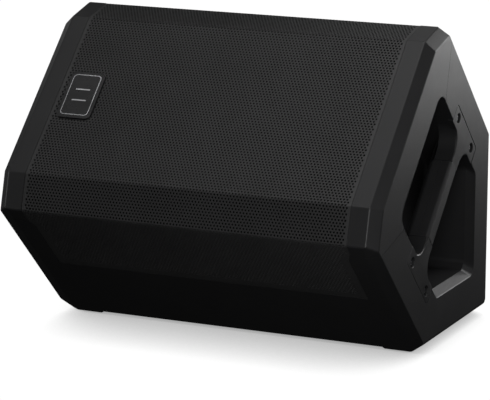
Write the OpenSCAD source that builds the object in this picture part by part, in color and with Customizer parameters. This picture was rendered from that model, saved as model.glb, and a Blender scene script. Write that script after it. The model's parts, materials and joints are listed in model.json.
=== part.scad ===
// Stage monitor wedge: moulded two-way active floor monitor, lying on its wedge side.
// Frame: x along the width, y to the back, z up, origin on the floor under the centre of the box.

/* [Cabinet] */
// Width across the two end faces
width = 560; // [480:1:620]
// Half height of the flat main face of the grille
face_half = 133; // [110:1:150]
// Half height of the front, out to the two long walls
cheek_half = 178; // [150:1:200]
// Depth of the long walls, from the main face to the start of the foot and the back
wall_deep = 292; // [260:1:320]
// Wall thickness of the mouldings
wall = 4; // [3:0.5:6]
// Width of the slanted rim at each end
end_run = 14.2; // [10:0.1:22]
// Height of the floor feet and the end feet
foot_rise = 2.5; // [2:0.5:5]

/* [Grille] */
// Half width of the opening the grille fills
grille_half = 240; // [200:1:250]
// Sheet thickness
grille_t = 1.2; // [1:0.1:2]
// How far the grille wraps onto the long walls, measured from the main face
grille_wrap = 158; // [100:1:200]
// Depth of the baffle behind the main face
baffle_deep = 26; // [22:1:34]

/* [Handle] */
// Half length of the pocket
pocket_half = 103; // [90:1:120]
// Depth of the pocket from the end face
pocket_deep = 74; // [50:1:80]
// Distance of the handle axis behind the main face
handle_v = 189; // [170:1:210]
// Width of the bar
bar_w = 25; // [20:1:32]
// How far the pocket's two rear walls slope in
bevel_in = 9; // [4:0.5:14]
// How deep that slope goes
bevel_deep = 11.5; // [6:0.5:20]

/* [Drive units] */
// Radius of the woofer's frame
woofer_r = 153; // [140:1:160]
// Woofer centre along the width
woofer_x = -82; // [-100:1:-60]
// Horn centre along the width
horn_x = 153; // [130:1:165]

/* [Pole socket] */
// Bore radius of the pole socket
pole_r = 17.75; // [17.5:0.05:18.5]
// Depth of the bore
pole_len = 75; // [60:1:90]
// Distance of the socket axis behind the main face
pole_v = 228; // [200:1:250]

/* [Amplifier panel] */
// Panel width
panel_w = 340; // [300:1:360]
// Panel height
panel_h = 188; // [160:1:196]
// Height of the panel centre above the floor
panel_z = 134; // [120:1:140]
// Depth of the panel face behind the back wall
panel_deep = 15; // [10:1:20]

/* [Hidden] */
$fn = 48;
half = width / 2;
r2 = sqrt(0.5);
facet_d = face_half * sin(30);
base_d = (wall_deep + cheek_half) * r2;
cab_x = foot_rise / 2;
cab_y = -(base_d - (cheek_half - (cheek_half - face_half) * tan(30)) * r2) / 2;
cab_z = base_d + foot_rise;
back_y = cab_y + base_d;
seam_v = 50;
seam_in = 92;
shell_screw = [[-205, 163], [-68, 163], [68, 163], [205, 163], [-205, -163], [-68, -163], [68, -163], [205, -163]];
screw_bz = [-88, 88];

// Placement of the cabinet frame: u runs up the main face, the third axis points out of the grille
module in_cab() translate([cab_x, cab_y, cab_z]) rotate([45, 0, 0]) children();
// Placement on the back wall: right and up as seen from behind, third axis pointing out of the wall
module on_back() translate([cab_x, back_y, 0]) rotate([90, 0, 180]) children();
// Outline given as [u, out], swept along the width
module along_x(a, b) translate([a, 0, 0]) rotate([90, 0, 90]) linear_extrude(b - a) children();
// Outline given as [x, out], swept up the face
module along_u(a, b) translate([0, b, 0]) rotate([90, 0, 0]) linear_extrude(b - a) children();
module rod(r, a, b) translate([0, 0, min(a, b)]) cylinder(r = r, h = abs(b - a));
module slab(x0, x1, y0, y1, z0, z1) translate([x0, y0, z0]) cube([x1 - x0, y1 - y0, z1 - z0]);

function unit(v) = v / norm(v);
function arc(p, a, b, r, n) = let (ua = unit(a - p), ub = unit(b - p), g = acos(ua * ub),
  c = p + unit(ua + ub) * (r / sin(g / 2)), s = p + ua * (r / tan(g / 2)), e = p + ub * (r / tan(g / 2)),
  a0 = atan2(s[1] - c[1], s[0] - c[0]), d = atan2(e[1] - c[1], e[0] - c[0]) - a0,
  w = d > 180 ? d - 360 : d < -180 ? d + 360 : d)
  r < 0.01 ? [p] : [for (i = [0:n]) c + r * [cos(a0 + w * i / n), sin(a0 + w * i / n)]];
function xy(q) = [q[0], q[1]];
// Rounds each corner [x, y, radius] of an outline
function soft(q, n = 6) = let (m = len(q)) [for (i = [0:m - 1])
  each arc(xy(q[i]), xy(q[(i + m - 1) % m]), xy(q[(i + 1) % m]), q[i][2], n)];
function box_pts(x, y, r) = [[-x, -y, r], [x, -y, r], [x, y, r], [-x, y, r]];
module pad(x, y, r) polygon(soft(box_pts(x, y, r), 4));

// One flat of the cabinet, with the slanted rims at both ends
module flat(turn, d, inset, run, h) rotate([turn, 0, 0]) along_u(-700, 700)
  polygon([[-h, -900], [-h, d - inset], [-h + run, d], [h - run, d], [h, d - inset], [h, -900]]);
// Whole outside, moved inwards by t, and by b more at the foot
module cabinet(t = 0, b = 0) {
  intersection() {
    flat(0, -t, 11.4, end_run, half - t);
    flat(-30, facet_d - t, 13.4, end_run, half - t);
    flat(30, facet_d - t, 13.4, end_run, half - t);
    flat(-90, cheek_half - t, 4.4, 18.5, half - t);
    flat(90, cheek_half - t, 4.4, 18.5, half - t);
    flat(-135, base_d - t, 16.2, 22.5, half - t);
    flat(135, base_d - t - b, 16.2, 22.5, half - t);
    flat(180, wall_deep + cheek_half - 7 - t, 19, 22.5, half - t);
  }
}
function seam_pts(g) = [[-cheek_half - 30, -seam_v + g], [-174, -seam_v + g], [-104, -seam_in + g],
  [104, -seam_in + g], [174, -seam_v + g], [cheek_half + 30, -seam_v + g]];
module front_zone() along_x(-half - 10, half + 10)
  polygon(concat([[-cheek_half - 30, 60]], seam_pts(0.25), [[cheek_half + 30, 60]]));
module rear_zone() along_x(-half - 10, half + 10)
  polygon(concat([[-cheek_half - 30, -600]], seam_pts(-0.25), [[cheek_half + 30, -600]]));
// Pocket outline grown by t, with its two rear edges drawn in by c
function pocket_pts(t, c = 0) = let (h = pocket_half + t, f = -69 + t, k = -364 - t + c * sqrt(2),
  m = -268 - 0.414 * t + c * sqrt(2)) [[-h, f, 21], [h, f, 21],
  [h, m, 14], [7 + 0.414 * t, k, 10], [-7 - 0.414 * t, k, 10], [-h, m, 14]];
// Pocket space grown by t, its two rear walls sloping in behind the mouth
module pocket(t) {
  along_x(half - pocket_deep - t, half + 20) polygon(soft(pocket_pts(t, bevel_in)));
  intersection() {
    along_x(half - bevel_deep - t, half + 20) polygon(soft(pocket_pts(t)));
    rear_slope(-135, t);
    rear_slope(135, t);
  }
}
module rear_slope(turn, t) let (d = 371 * r2 + t) rotate([turn, 0, 0]) along_u(-700, 700)
  polygon([[half - bevel_deep - t, -900], [half - bevel_deep - t, d - bevel_in], [half, d],
    [half + 30, d], [half + 30, -900]]);
// Sheet path round the front at depth t, down both long walls
function wrap_pts(t, low) = [[-cheek_half + t, low], [-cheek_half + t, -25.98 - 0.577 * t],
  [-face_half + 0.268 * t, -t], [face_half - 0.268 * t, -t], [cheek_half - t, -25.98 - 0.577 * t],
  [cheek_half - t, low]];
// Width limits of the grille, narrower on the long walls
module grille_width(g) along_u(-300, 300) polygon([[-grille_half + g, 20], [-grille_half + g, -45],
  [-grille_half + g + 7, -62], [-grille_half + g + 7, -grille_wrap + g], [grille_half - g - 7, -grille_wrap + g],
  [grille_half - g - 7, -62], [grille_half - g, -45], [grille_half - g, 20]]);
module grille_slot() intersection() {
  grille_width(0);
  difference() {
    slab(-half, half, -300, 300, -grille_wrap, 30);
    difference() {
      slab(-half - 1, half + 1, -cheek_half + 2, cheek_half - 2, -grille_wrap - 1, -baffle_deep);
      for (s = [-1, 1]) scale([1, s, 1]) slab(-half, half, cheek_half - 6, cheek_half - 1.9, -baffle_deep - 1.6, 0);
    }
  }
}
// Seats of the handle plates
module plate_seat(t, d) for (s = [-1, 1]) scale([1, s, 1]) along_x(half - d, half + 5)
  polygon(soft([[pocket_half - 2, -handle_v - 53 - t, 0], [129 + t, -handle_v - 53 - t, 5],
    [129 + t, -handle_v + 53 + t, 5], [pocket_half - 2, -handle_v + 53 + t, 0]], 3));
module plate_holes(r, a, b) for (s = [-1, 1], v = [-36, 36])
  translate([a, s * 117, -handle_v + v]) rotate([0, 90, 0]) cylinder(r = r, h = b - a);

module front_shell() color([0.05, 0.05, 0.055]) in_cab() difference() {
  union() {
    intersection() {
      cabinet();
      front_zone();
      difference() {
        slab(-half - 5, half + 5, -300, 300, -200, 20);
        difference() {
          cabinet(wall);
          slab(-grille_half - wall, grille_half + wall, -300, 300, -baffle_deep - 8, 30);
        }
      }
    }
    intersection() {
      cabinet(1);
      front_zone();
      pocket(wall);
    }
    for (p = shell_screw) translate([p[0], p[1], 0]) rod(7, -seam_v + 0.25, -baffle_deep - 7);
  }
  grille_slot();
  pocket(0);
  plate_seat(0.3, 7.8);
  plate_holes(2.1, half - 20, half);
  translate([woofer_x, 0, 0]) rod(141, -60, 0);
  slab(horn_x - 64, horn_x + 64, -117, 117, -60, 0);
  for (p = shell_screw) translate([p[0], p[1], 0]) {
    rod(2.3, -60, 0);
    rod(5.2, -baffle_deep - 5.2, 0);
  }
  for (a = [22.5:45:359]) translate([woofer_x, 0, 0]) rotate([0, 0, a]) translate([147, 0, 0]) rod(2.1, -60, 0);
  for (x = [-67.5, 67.5], u = [-121, 121]) translate([horn_x + x, u, 0]) rod(1.8, -60, 0);
}

module back_recess(t, d) on_back() translate([0, panel_z, -d]) linear_extrude(d + 20)
  pad(panel_w / 2 + t, panel_h / 2 + t, 7 + t);

module rear_shell() color([0.05, 0.05, 0.055]) difference() {
  union() {
    in_cab() intersection() {
      difference() {
        cabinet();
        cabinet(wall, 4);
      }
      rear_zone();
    }
    in_cab() intersection() {
      cabinet(1);
      rear_zone();
      union() {
        pocket(wall);
        plate_seat(4, 16);
        translate([-half, 0, -pole_v]) rotate([0, 90, 0]) cylinder(r = 48, h = 10);
        for (p = shell_screw) translate([p[0], p[1], 0]) {
          rod(6.5, -84, -seam_v - 0.25);
          slab(-3, 3, p[1] > 0 ? 0 : -13, p[1] > 0 ? 13 : 0, -84, -seam_v - 0.25);
        }
      }
    }
    intersection() {
      in_cab() cabinet(1, 1);
      back_recess(4, panel_deep + 8);
    }
  }
  in_cab() {
    grille_slot();
    pocket(0);
    plate_seat(0.3, 7.8);
    plate_holes(2.1, half - 20, half);
    translate([-half - 1, 0, -pole_v]) rotate([0, 90, 0]) cylinder(r = 40.3, h = 5.3);
    translate([-half - 1, 0, -pole_v]) rotate([0, 90, 0]) cylinder(r = 22.4, h = 30);
    for (a = [45:90:359]) translate([-half - 1, 0, -pole_v]) rotate([a, 0, 0])
      translate([0, 31, 0]) rotate([0, 90, 0]) cylinder(r = 1.9, h = 30);
    for (p = shell_screw) translate([p[0], p[1], 0]) rod(2.1, -78, -40);
    for (p = [[140, -112], [-140, -112], [56, -346], [-56, -346]])
      translate([-half - 1, p[0], p[1]]) rotate([0, 90, 0]) cylinder(r = 12.2, h = 3);
  }
  // Shallow relief between the two floor rails
  translate([cab_x, 0, foot_rise]) slab(-220, 220, cab_y, back_y + 20, -5, 4);
  // Opening behind the panel flange, and the panel's own seat
  back_recess(0.4, panel_deep + 3.3);
  on_back() translate([0, panel_z, -60]) linear_extrude(60) pad(panel_w / 2 - 12, panel_h / 2 - 12, 4);
  on_back() for (p = panel_spots()) translate([p[0], panel_z + p[1], 0]) rod(1.6, -40, 0);
  for (x = [-238, 238], y = [cab_y + 112, back_y - 38]) translate([cab_x + x, y, 0]) rod(13.2, 0, foot_rise + 2);
}

module shell_seal() color([0.12, 0.12, 0.12]) in_cab() difference() {
  intersection() {
    difference() {
      cabinet(wall + 0.3);
      cabinet(wall + 3);
    }
    along_x(-half, half) polygon(concat(seam_pts(2), [for (i = [5:-1:0]) seam_pts(-2)[i]]));
  }
  pocket(wall + 0.4);
  plate_seat(4.4, 16.5);
  for (p = shell_screw) translate([p[0], p[1], 0]) {
    rod(7.3, -90, -20);
    slab(-3.4, 3.4, p[1] > 0 ? 0 : -14, p[1] > 0 ? 14 : 0, -90, -20);
  }
}

// Cap screw standing on z = 0 with its shank below
module screw(r, head_r, head_h, l) {
  difference() {
    rod(head_r, 0, head_h);
    rotate([0, 0, 30]) translate([0, 0, head_h * 0.4]) cylinder(r = head_r * 0.5, h = head_h, $fn = 6);
  }
  rod(r, -l, 0.2);
}

module shell_screws() color([0.3, 0.3, 0.32]) in_cab() for (p = shell_screw)
  translate([p[0], p[1], -baffle_deep - 5]) screw(2, 4.5, 3.4, 44);

module grille() color([0.06, 0.06, 0.06]) in_cab() intersection() {
  grille_width(0.4);
  along_x(-half, half) polygon(concat(wrap_pts(0.4, -grille_wrap + 0.4),
    [for (i = [5:-1:0]) wrap_pts(0.4 + grille_t, -grille_wrap + 0.4)[i]]));
}
module grille_foam() color([0.03, 0.03, 0.03]) in_cab() intersection() {
  slab(-grille_half + 3, grille_half - 3, -cheek_half + 4, cheek_half - 4, -baffle_deep + 0.3, 0);
  along_x(-half, half) polygon(concat(wrap_pts(2, -60), [for (i = [5:-1:0]) wrap_pts(6, -60)[i]]));
}

// Thin outline and two bars inlaid in the badge, grown by t
module badge_lines(t, z0, z1) {
  translate([0, 0, z0]) linear_extrude(z1 - z0) difference() {
    pad(21.5 + t, 33.5 + t, 6 + t);
    pad(20.6 - t, 32.6 - t, 5.1 - t);
  }
  for (u = [-9, 9]) translate([0, u, z0]) linear_extrude(z1 - z0) pad(11 + t, 1 + t, 0.7 + t);
}
module badge_plate() color([0.04, 0.04, 0.045]) in_cab() translate([-203, 0, 0]) difference() {
  translate([0, 0, -0.3]) linear_extrude(2.3) pad(27, 39, 9);
  badge_lines(0.05, 1.25, 3);
}
module badge_inlay() color([0.7, 0.7, 0.72]) in_cab() translate([-203, 0, 0]) badge_lines(0, 1.3, 2.15);

// Handle outline: bar with flared ends
function bar_side(s) = let (a = s * bar_w / 2, h = pocket_half - 0.3)
  concat(arc([-h, a], [-h, s * 60], [h, a], 29, 8), arc([h, a], [-h, a], [h, s * 60], 29, 8));
module handle_bar() color([0.07, 0.07, 0.075]) in_cab() difference() {
  union() {
    difference() {
      along_x(half - 34, half - 0.3) translate([0, -handle_v])
        polygon(concat(bar_side(1), reversed(bar_side(-1))));
      difference() {
        slab(half - 50, half + 5, -62, 62, -handle_v - 40, -handle_v + 40);
        slab(half - 31, half - 3, -70, 70, -handle_v - 9.5, -handle_v + 9.5);
      }
      for (s = [-1, 1]) along_u(-110, 110) translate([half, -handle_v]) scale([1, s])
        polygon([[-40, bar_w / 2 - 6], [-34, bar_w / 2 - 6], [-28, bar_w / 2], [-28, 60], [-40, 60]]);
    }
    plate_plates();
  }
  plate_holes(2.2, half - 60, half + 5);
  plate_holes(7.2, half - 5.4, half + 5);
}
function reversed(q) = [for (i = [len(q) - 1:-1:0]) q[i]];
module plate_plates() for (s = [-1, 1]) scale([1, s, 1]) along_x(half - 7.5, half - 0.3)
  polygon(soft([[pocket_half - 2, -handle_v - 52.7, 0], [128.7, -handle_v - 52.7, 4.7],
    [128.7, -handle_v + 52.7, 4.7], [pocket_half - 2, -handle_v + 52.7, 0]], 3));
module handle_grip() color([0.09, 0.09, 0.095]) in_cab() translate([half, 0, -handle_v]) difference() {
  along_u(-61.6, 61.6) polygon(soft([[-34.4, -8, 3], [-28, -bar_w / 2 - 0.6, 6], [-0.2, -bar_w / 2 - 0.6, 4.6],
    [-0.2, bar_w / 2 + 0.6, 4.6], [-28, bar_w / 2 + 0.6, 6], [-34.4, 8, 3]], 5));
  slab(-31.2, -2.8, -70, 70, -9.7, 9.7);
}
module handle_screws() color([0.6, 0.6, 0.62]) in_cab() for (s = [-1, 1], v = [-36, 36])
  translate([half - 5.4, s * 117, -handle_v + v]) rotate([0, 90, 0]) screw(2, 4.8, 2.8, 13);

module pole_socket() color([0.08, 0.08, 0.085]) in_cab() translate([-half + 0.2, 0, -pole_v]) rotate([0, 90, 0])
  difference() {
    union() {
      rod(40, 0, 4);
      rod(22, 0, pole_len + 4);
    }
    rod(pole_r, -1, pole_len);
    translate([0, 0, -0.01]) cylinder(r1 = pole_r + 3, r2 = pole_r, h = 3);
    for (a = [45:90:359]) rotate([0, 0, a]) translate([31, 0, 0]) {
      rod(2.1, -1, 5);
      rod(4.2, -1, 2.4);
    }
  }
module pole_screws() color([0.3, 0.3, 0.32]) in_cab() translate([-half + 2.6, 0, -pole_v]) rotate([0, -90, 0])
  for (a = [45:90:359]) rotate([0, 0, a]) translate([31, 0, 0]) screw(1.8, 3.8, 2.1, 12);

module floor_feet() color([0.05, 0.05, 0.05]) for (x = [-238, 238], y = [cab_y + 112, back_y - 38])
  translate([cab_x + x, y, 0]) difference() {
    union() {
      rod(13, foot_rise - 0.4, foot_rise + 2);
      cylinder(r1 = 11.6, r2 = 13, h = foot_rise - 0.4);
    }
    rod(4, -1, 1.2);
  }
module end_feet() color([0.05, 0.05, 0.05]) in_cab() for (p = [[140, -112], [-140, -112], [56, -346], [-56, -346]])
  translate([-half + 2, p[0], p[1]]) rotate([0, -90, 0]) {
    rod(12, 0, 2.4 + foot_rise - 0.4 - 0.4);
    translate([0, 0, 4.1]) cylinder(r1 = 12, r2 = 10.6, h = foot_rise + 2 - 4.1);
  }
module wadding() color([0.75, 0.75, 0.72]) in_cab() slab(-195, 190, cheek_half - 26, cheek_half - 4.4, -262, -90);

// Woofer, drawn round its own axis with the third axis out of the grille
module at_woofer() in_cab() translate([woofer_x, 0, 0]) children();
module woofer_basket() color([0.1, 0.1, 0.1]) at_woofer() difference() {
  rotate_extrude($fn = 72) polygon([[woofer_r, -20], [139.4, -20], [139.4, -23], [128.5, -23], [128.5, -27],
    [76, -86], [76, -88], [66, -88], [66, -95], [39.9, -95], [39.9, -99], [80, -99], [80, -88], [131, -30],
    [131, -40], [138.5, -40], [138.5, -26], [woofer_r, -26]]);
  for (a = [0:60:359]) rotate([0, 0, a]) rotate([0, 90, 0]) linear_extrude(200)
    polygon([[44, -44], [44, 44], [84, 24], [84, -24]]);
  for (a = [22.5:45:359]) rotate([0, 0, a]) translate([147, 0, 0]) rod(2.4, -60, 0);
}
module woofer_gasket() color([0.04, 0.04, 0.04]) at_woofer() difference() {
  rod(139, -21.8, -18.6);
  rod(130.2, -30, 0);
}
module woofer_surround() color([0.05, 0.05, 0.05]) at_woofer() rotate_extrude($fn = 72) {
  difference() {
    translate([121.5, -22]) circle(r = 8.2, $fn = 36);
    translate([121.5, -22]) circle(r = 7.2, $fn = 36);
    translate([100, -42]) square([40, 19.5]);
  }
  translate([128.9, -22.9]) square([9.8, 1]);
  translate([109, -22.9]) square([5.1, 1]);
}
module woofer_cone() color([0.08, 0.08, 0.08]) at_woofer() rotate_extrude($fn = 72)
  polygon([[114, -23.1], [108, -23.1], [72, -40], [38.4, -64], [38.4, -65.4], [72, -41.4], [109, -24.1], [114, -24.1]]);
module dust_cap() color([0.05, 0.05, 0.05]) at_woofer() rotate_extrude($fn = 72)
  polygon(concat([for (a = [0:6:36]) [70 * sin(a), -106.6 + 70 * cos(a)]],
    [for (a = [36:-6:0]) [69 * sin(a), -106.6 + 69 * cos(a)]]));
module voice_coil() color([0.7, 0.4, 0.2]) at_woofer() {
  difference() {
    union() {
      rod(38.1, -112, -63.6);
      rod(38.9, -112, -97);
    }
    rod(37.4, -120, -60);
  }
}
module woofer_spider() color([0.6, 0.45, 0.2]) at_woofer() rotate_extrude($fn = 72)
  polygon(concat([for (i = [0:14]) [38.6 + i * 1.9, -88.6 + (i % 2) * 1.6]],
    [[65.7, -87.8], [72, -87.7], [72, -86.9], [75.6, -86.9], [75.6, -86.1], [66.5, -86.1]], [for (i = [14:-1:0]) [38.6 + i * 1.9, -87.8 + (i % 2) * 1.6]]));
module front_plate() color([0.4, 0.4, 0.42]) at_woofer() difference() {
  rod(76, -107, -99.1);
  rod(39.7, -120, -90);
}
module woofer_magnet() color([0.13, 0.13, 0.14]) at_woofer() difference() {
  rod(78, -127, -107.1);
  rod(45, -130, -100);
}
module back_plate() color([0.4, 0.4, 0.42]) at_woofer() difference() {
  union() {
    rod(76, -135, -127.1);
    rod(36.6, -130, -99);
  }
  rod(10, -140, -90);
}
module woofer_screws() color([0.2, 0.2, 0.2]) at_woofer() for (a = [22.5:45:359]) rotate([0, 0, a])
  translate([147, 0, -20]) screw(2, 4.2, 3, 26);

module at_horn() in_cab() translate([horn_x, 0, 0]) children();
// Horn passage: three joined tapers, grown by t
module horn_air(t) {
  hull() {
    translate([0, 0, -22.01]) linear_extrude(0.01) square([122 + 2 * t, 222 + 2 * t], center = true);
    translate([0, 0, -52]) linear_extrude(0.01) square([78 + 2 * t, 128 + 2 * t], center = true);
  }
  hull() {
    translate([0, 0, -52.01]) linear_extrude(0.02) square([78 + 2 * t, 128 + 2 * t], center = true);
    translate([0, 0, -86]) linear_extrude(0.01) square([38 + 2 * t, 54 + 2 * t], center = true);
  }
  hull() {
    translate([0, 0, -86.01]) linear_extrude(0.02) square([38 + 2 * t, 54 + 2 * t], center = true);
    translate([0, 0, -120 - 0.2]) cylinder(r = 12.7 + t, h = 0.2, $fn = 24);
  }
}
module horn() color([0.06, 0.06, 0.065]) at_horn() difference() {
  union() {
    translate([0, 0, -25.8]) linear_extrude(3.8) pad(71, 125, 5);
    horn_air(2.5);
    rod(46, -120.2, -113);
  }
  horn_air(0);
  translate([0, 0, -22.1]) linear_extrude(5) square([122, 222], center = true);
  rod(12.7, -130, -119);
  for (x = [-67.5, 67.5], u = [-121, 121]) translate([x, u, 0]) rod(2.1, -40, 0);
  for (a = [45:90:359]) rotate([0, 0, a]) translate([39, 0, 0]) rod(2.3, -130, -100);
}
module horn_screws() color([0.2, 0.2, 0.2]) at_horn() for (x = [-67.5, 67.5], u = [-121, 121])
  translate([x, u, -22]) screw(1.7, 3, 2, 20);
module hf_motor() color([0.14, 0.14, 0.15]) at_horn() difference() {
  union() {
    rod(44, -128, -120.4);
    rod(42, -152, -127);
  }
  rod(12.7, -146, -110);
  translate([0, 0, -152.01]) cylinder(r1 = 24, r2 = 12.7, h = 8);
  for (a = [45:90:359]) rotate([0, 0, a]) translate([39, 0, 0]) rod(2.1, -140, -100);
}
module hf_cap() color([0.08, 0.08, 0.085]) at_horn() difference() {
  rod(36, -170, -152.1);
  rod(32, -167, -150);
}
module hf_diaphragm() color([0.7, 0.7, 0.72]) at_horn() difference() {
  union() {
    rod(24, -154.2, -153.6);
    intersection() {
      translate([0, 0, -176.8]) sphere(r = 30);
      rod(19.2, -154.2, -146);
    }
  }
  intersection() {
    translate([0, 0, -177.6]) sphere(r = 30);
    rod(18.6, -155, -146);
  }
}
module hf_bolts() color([0.5, 0.5, 0.52]) at_horn() for (a = [45:90:359]) rotate([0, 0, a])
  translate([39, 0, -113]) screw(2, 3.8, 3, 18);

// Amplifier, drawn on the back wall
function panel_spots() = [for (x = [-163, -55, 55, 163], y = screw_bz) [x, y]];
socket_at = [[-128, 196], [-88, 196]];
knob_at = [[-128, 142], [-92, 142], [-56, 142], [-20, 142]];
button_at = [[-20, 172], [12, 172], [12, 142]];
module at_panel() on_back() translate([0, 0, -panel_deep]) children();
module amp_panel() color([0.12, 0.12, 0.125]) at_panel() difference() {
  translate([0, panel_z, -3]) linear_extrude(3) pad(panel_w / 2, panel_h / 2, 7);
  for (p = panel_spots()) translate([p[0], panel_z + p[1], 0]) rod(1.9, -10, 5);
  for (p = socket_at) translate([p[0], p[1], 0]) rod(12, -10, 5);
  translate([-50, 196, 0]) rod(6.1, -10, 5);
  for (p = knob_at) translate([p[0], p[1], 0]) rod(3.8, -10, 5);
  for (p = button_at) translate([p[0], p[1], -10]) linear_extrude(20) square([9.6, 9.6], center = true);
  translate([-118, 82, -10]) linear_extrude(20) square([28.6, 36.6], center = true);
  translate([-52, 82, -10]) linear_extrude(20) square([15, 22], center = true);
  for (i = [0:2]) translate([-32 + 18 * i, 206, 0]) rod(2.1, -10, 5);
}
module panel_screws() color([0.2, 0.2, 0.2]) at_panel() for (p = panel_spots())
  translate([p[0], panel_z + p[1], 0]) screw(1.5, 3, 2, 14);
module heat_sink() color([0.1, 0.1, 0.105]) at_panel() {
  slab(46, 152, panel_z - 78, panel_z + 78, 0.05, 3);
  for (i = [0:12]) slab(47 + i * 8.5, 49 + i * 8.5, panel_z - 78, panel_z + 78, 2.9, 12.5);
}
module amp_cover() color([0.55, 0.55, 0.57]) at_panel() difference() {
  slab(-158, 158, panel_z - 80, panel_z + 80, -82, -3.2);
  slab(-156.8, 156.8, panel_z - 78.8, panel_z + 78.8, -80.8, 0);
  for (x = [-100, 100]) translate([x, panel_z + 60, 0]) rod(5, -100, -60);
}
module board_posts(x0, x1, y0, y1) for (x = [x0, x1], y = [y0, y1]) translate([x, y, 0]) rod(2.4, -80.6, -66.1);
module amp_board() color([0.05, 0.3, 0.12]) at_panel() {
  difference() {
    slab(-150, 30, panel_z - 72, panel_z + 72, -66, -64.4);
    for (x = [-144, 24], y = [-66, 66]) translate([x, panel_z + y, 0]) rod(1.5, -70, -60);
  }
  board_posts(-144, 24, panel_z - 66, panel_z + 66);
  for (i = [0:3]) slab(-140 + 30 * i, -124 + 30 * i, panel_z - 60, panel_z - 48, -64.5, -61);
  slab(-10, 20, panel_z - 20, panel_z + 20, -64.5, -46);
}
module supply_board() color([0.25, 0.2, 0.08]) at_panel() {
  difference() {
    slab(36, 150, panel_z - 72, panel_z + 72, -66, -64.4);
    for (x = [42, 144], y = [-66, 66]) translate([x, panel_z + y, 0]) rod(1.5, -70, -60);
  }
  board_posts(42, 144, panel_z - 66, panel_z + 66);
  slab(120, 146, panel_z - 20, panel_z + 50, -64.5, -40);
}
module transformer() color([0.5, 0.35, 0.1]) at_panel() {
  slab(48, 90, panel_z - 62, panel_z - 22, -64.3, -34);
  slab(44, 94, panel_z - 50, panel_z - 34, -60, -38);
}
module capacitors() color([0.05, 0.05, 0.2]) at_panel() for (x = [58, 86], y = [12, 44])
  translate([x, panel_z + y, 0]) rod(11, -64.3, -28);

module mains_inlet() color([0.04, 0.04, 0.045]) at_panel() translate([-118, 82, 0]) difference() {
  union() {
    translate([0, 0, 0.05]) linear_extrude(2.6) pad(16, 24, 3);
    slab(-14, 14, -18, 18, -26, 1);
  }
  translate([0, -4, -16]) linear_extrude(30) polygon([[-12, -9], [12, -9], [12, 5], [8, 8.5], [-8, 8.5], [-12, 5]]);
  inlet_blades(0.05, -19, -14);
  slab(-11.3, 11.3, 7.7, 16.3, -22, 10);
}
module inlet_blades(t, a, b) {
  slab(-1 - t, 1 + t, -9 - t, -3 + t, a, b);
  for (x = [-7, 7]) slab(x - 1 - t, x + 1 + t, -4 - t, 2 + t, a, b);
}
module link_pins(t, a, b) for (n = [90, 210, 330]) rotate([0, 0, n]) translate([4.6, 0, 0]) rod(1.2 + t, a, b);
// The metal pins of the mains inlet and of the link socket
module contact_pins() color([0.6, 0.58, 0.54]) at_panel() {
  translate([-118, 82, 0]) inlet_blades(0, -18.9, -2);
  translate([socket_at[1][0], socket_at[1][1], 0]) link_pins(0, -15.9, -0.5);
}
module fuse_drawer() color([0.07, 0.07, 0.075]) at_panel() translate([-118, 82, 0]) {
  difference() {
    slab(-11, 11, 8, 16, -20, 3.4);
    slab(-9.5, 9.5, 9.5, 14.5, -19, -3);
    slab(-4, 4, 13.4, 20, 1.6, 5);
  }
}
module switch_frame() color([0.04, 0.04, 0.045]) at_panel() translate([-52, 82, 0]) difference() {
  union() {
    translate([0, 0, 0.05]) linear_extrude(1.8) pad(9.5, 13, 1.5);
    slab(-7.3, 7.3, -10.8, 10.8, -18, 1);
  }
  slab(-6.4, 6.4, -10, 10, -14, 10);
  translate([0, 0, -3.2]) rotate([0, 90, 0]) translate([0, 0, -7]) cylinder(r = 1.25, h = 14);
}
module power_rocker() color([0.5, 0.05, 0.04]) at_panel() translate([-52, 82, -3.2]) rotate([-8, 0, 0]) {
  difference() {
    intersection() {
      rotate([0, 90, 0]) translate([0, 0, -6.1]) cylinder(r = 9.4, h = 12.2);
      slab(-6.1, 6.1, -9.6, 9.6, -5, 20);
    }
    rotate([-9, 0, 0]) slab(-10, 10, -20, 0, 6.4, 20);
    rotate([9, 0, 0]) slab(-10, 10, 0, 20, 6.4, 20);
  }
  rotate([0, 90, 0]) translate([0, 0, -6.9]) cylinder(r = 1.2, h = 13.8);
}

// Socket flange with a round body through the panel
module socket_body() {
  difference() {
    union() {
      translate([0, 0, 0.05]) linear_extrude(2) pad(13, 15.5, 2);
      rod(11.7, -24, 1);
    }
    for (s = [-1, 1]) translate([s * 9.6, s * 12.2, 0]) {
      rod(1.6, -1, 5);
      rod(2.6, 1, 5);
    }
    children();
  }
}
module input_socket() color([0.05, 0.05, 0.055]) at_panel() {
  translate([socket_at[0][0], socket_at[0][1], 0]) socket_body() {
    difference() {
      rod(9.6, -3, 5);
      rod(7.4, -3.1, 1.2);
    }
    for (a = [90, 210, 330]) rotate([0, 0, a]) translate([4.6, 0, 0]) rod(1.3, -12, 5);
    slab(-4, 4, 9.4, 16, 0.6, 5);
  }
}
module latch_tab() color([0.45, 0.45, 0.47]) at_panel() translate([socket_at[0][0], socket_at[0][1], 0]) {
  slab(-3.4, 3.4, 12, 15.2, 0.8, 3.4);
  slab(-2.4, 2.4, 10.9, 12.2, 0.8, 1.8);
}
module line_socket() color([0.06, 0.06, 0.065]) at_panel() translate([-50, 196, 0]) difference() {
  union() {
    rod(6, -8, 1);
    translate([0, 0, 0.05]) cylinder(r = 8.2, h = 2.2, $fn = 6);
    slab(-8, 8, -9, 9, -26, -3.2);
  }
  rod(3.25, -22, 10);
}
module link_socket() color([0.05, 0.05, 0.055]) at_panel() translate([socket_at[1][0], socket_at[1][1], 0]) {
  socket_body() {
    rod(9.6, -12, 5);
    link_pins(0.05, -16, -10);
  }
}
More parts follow.
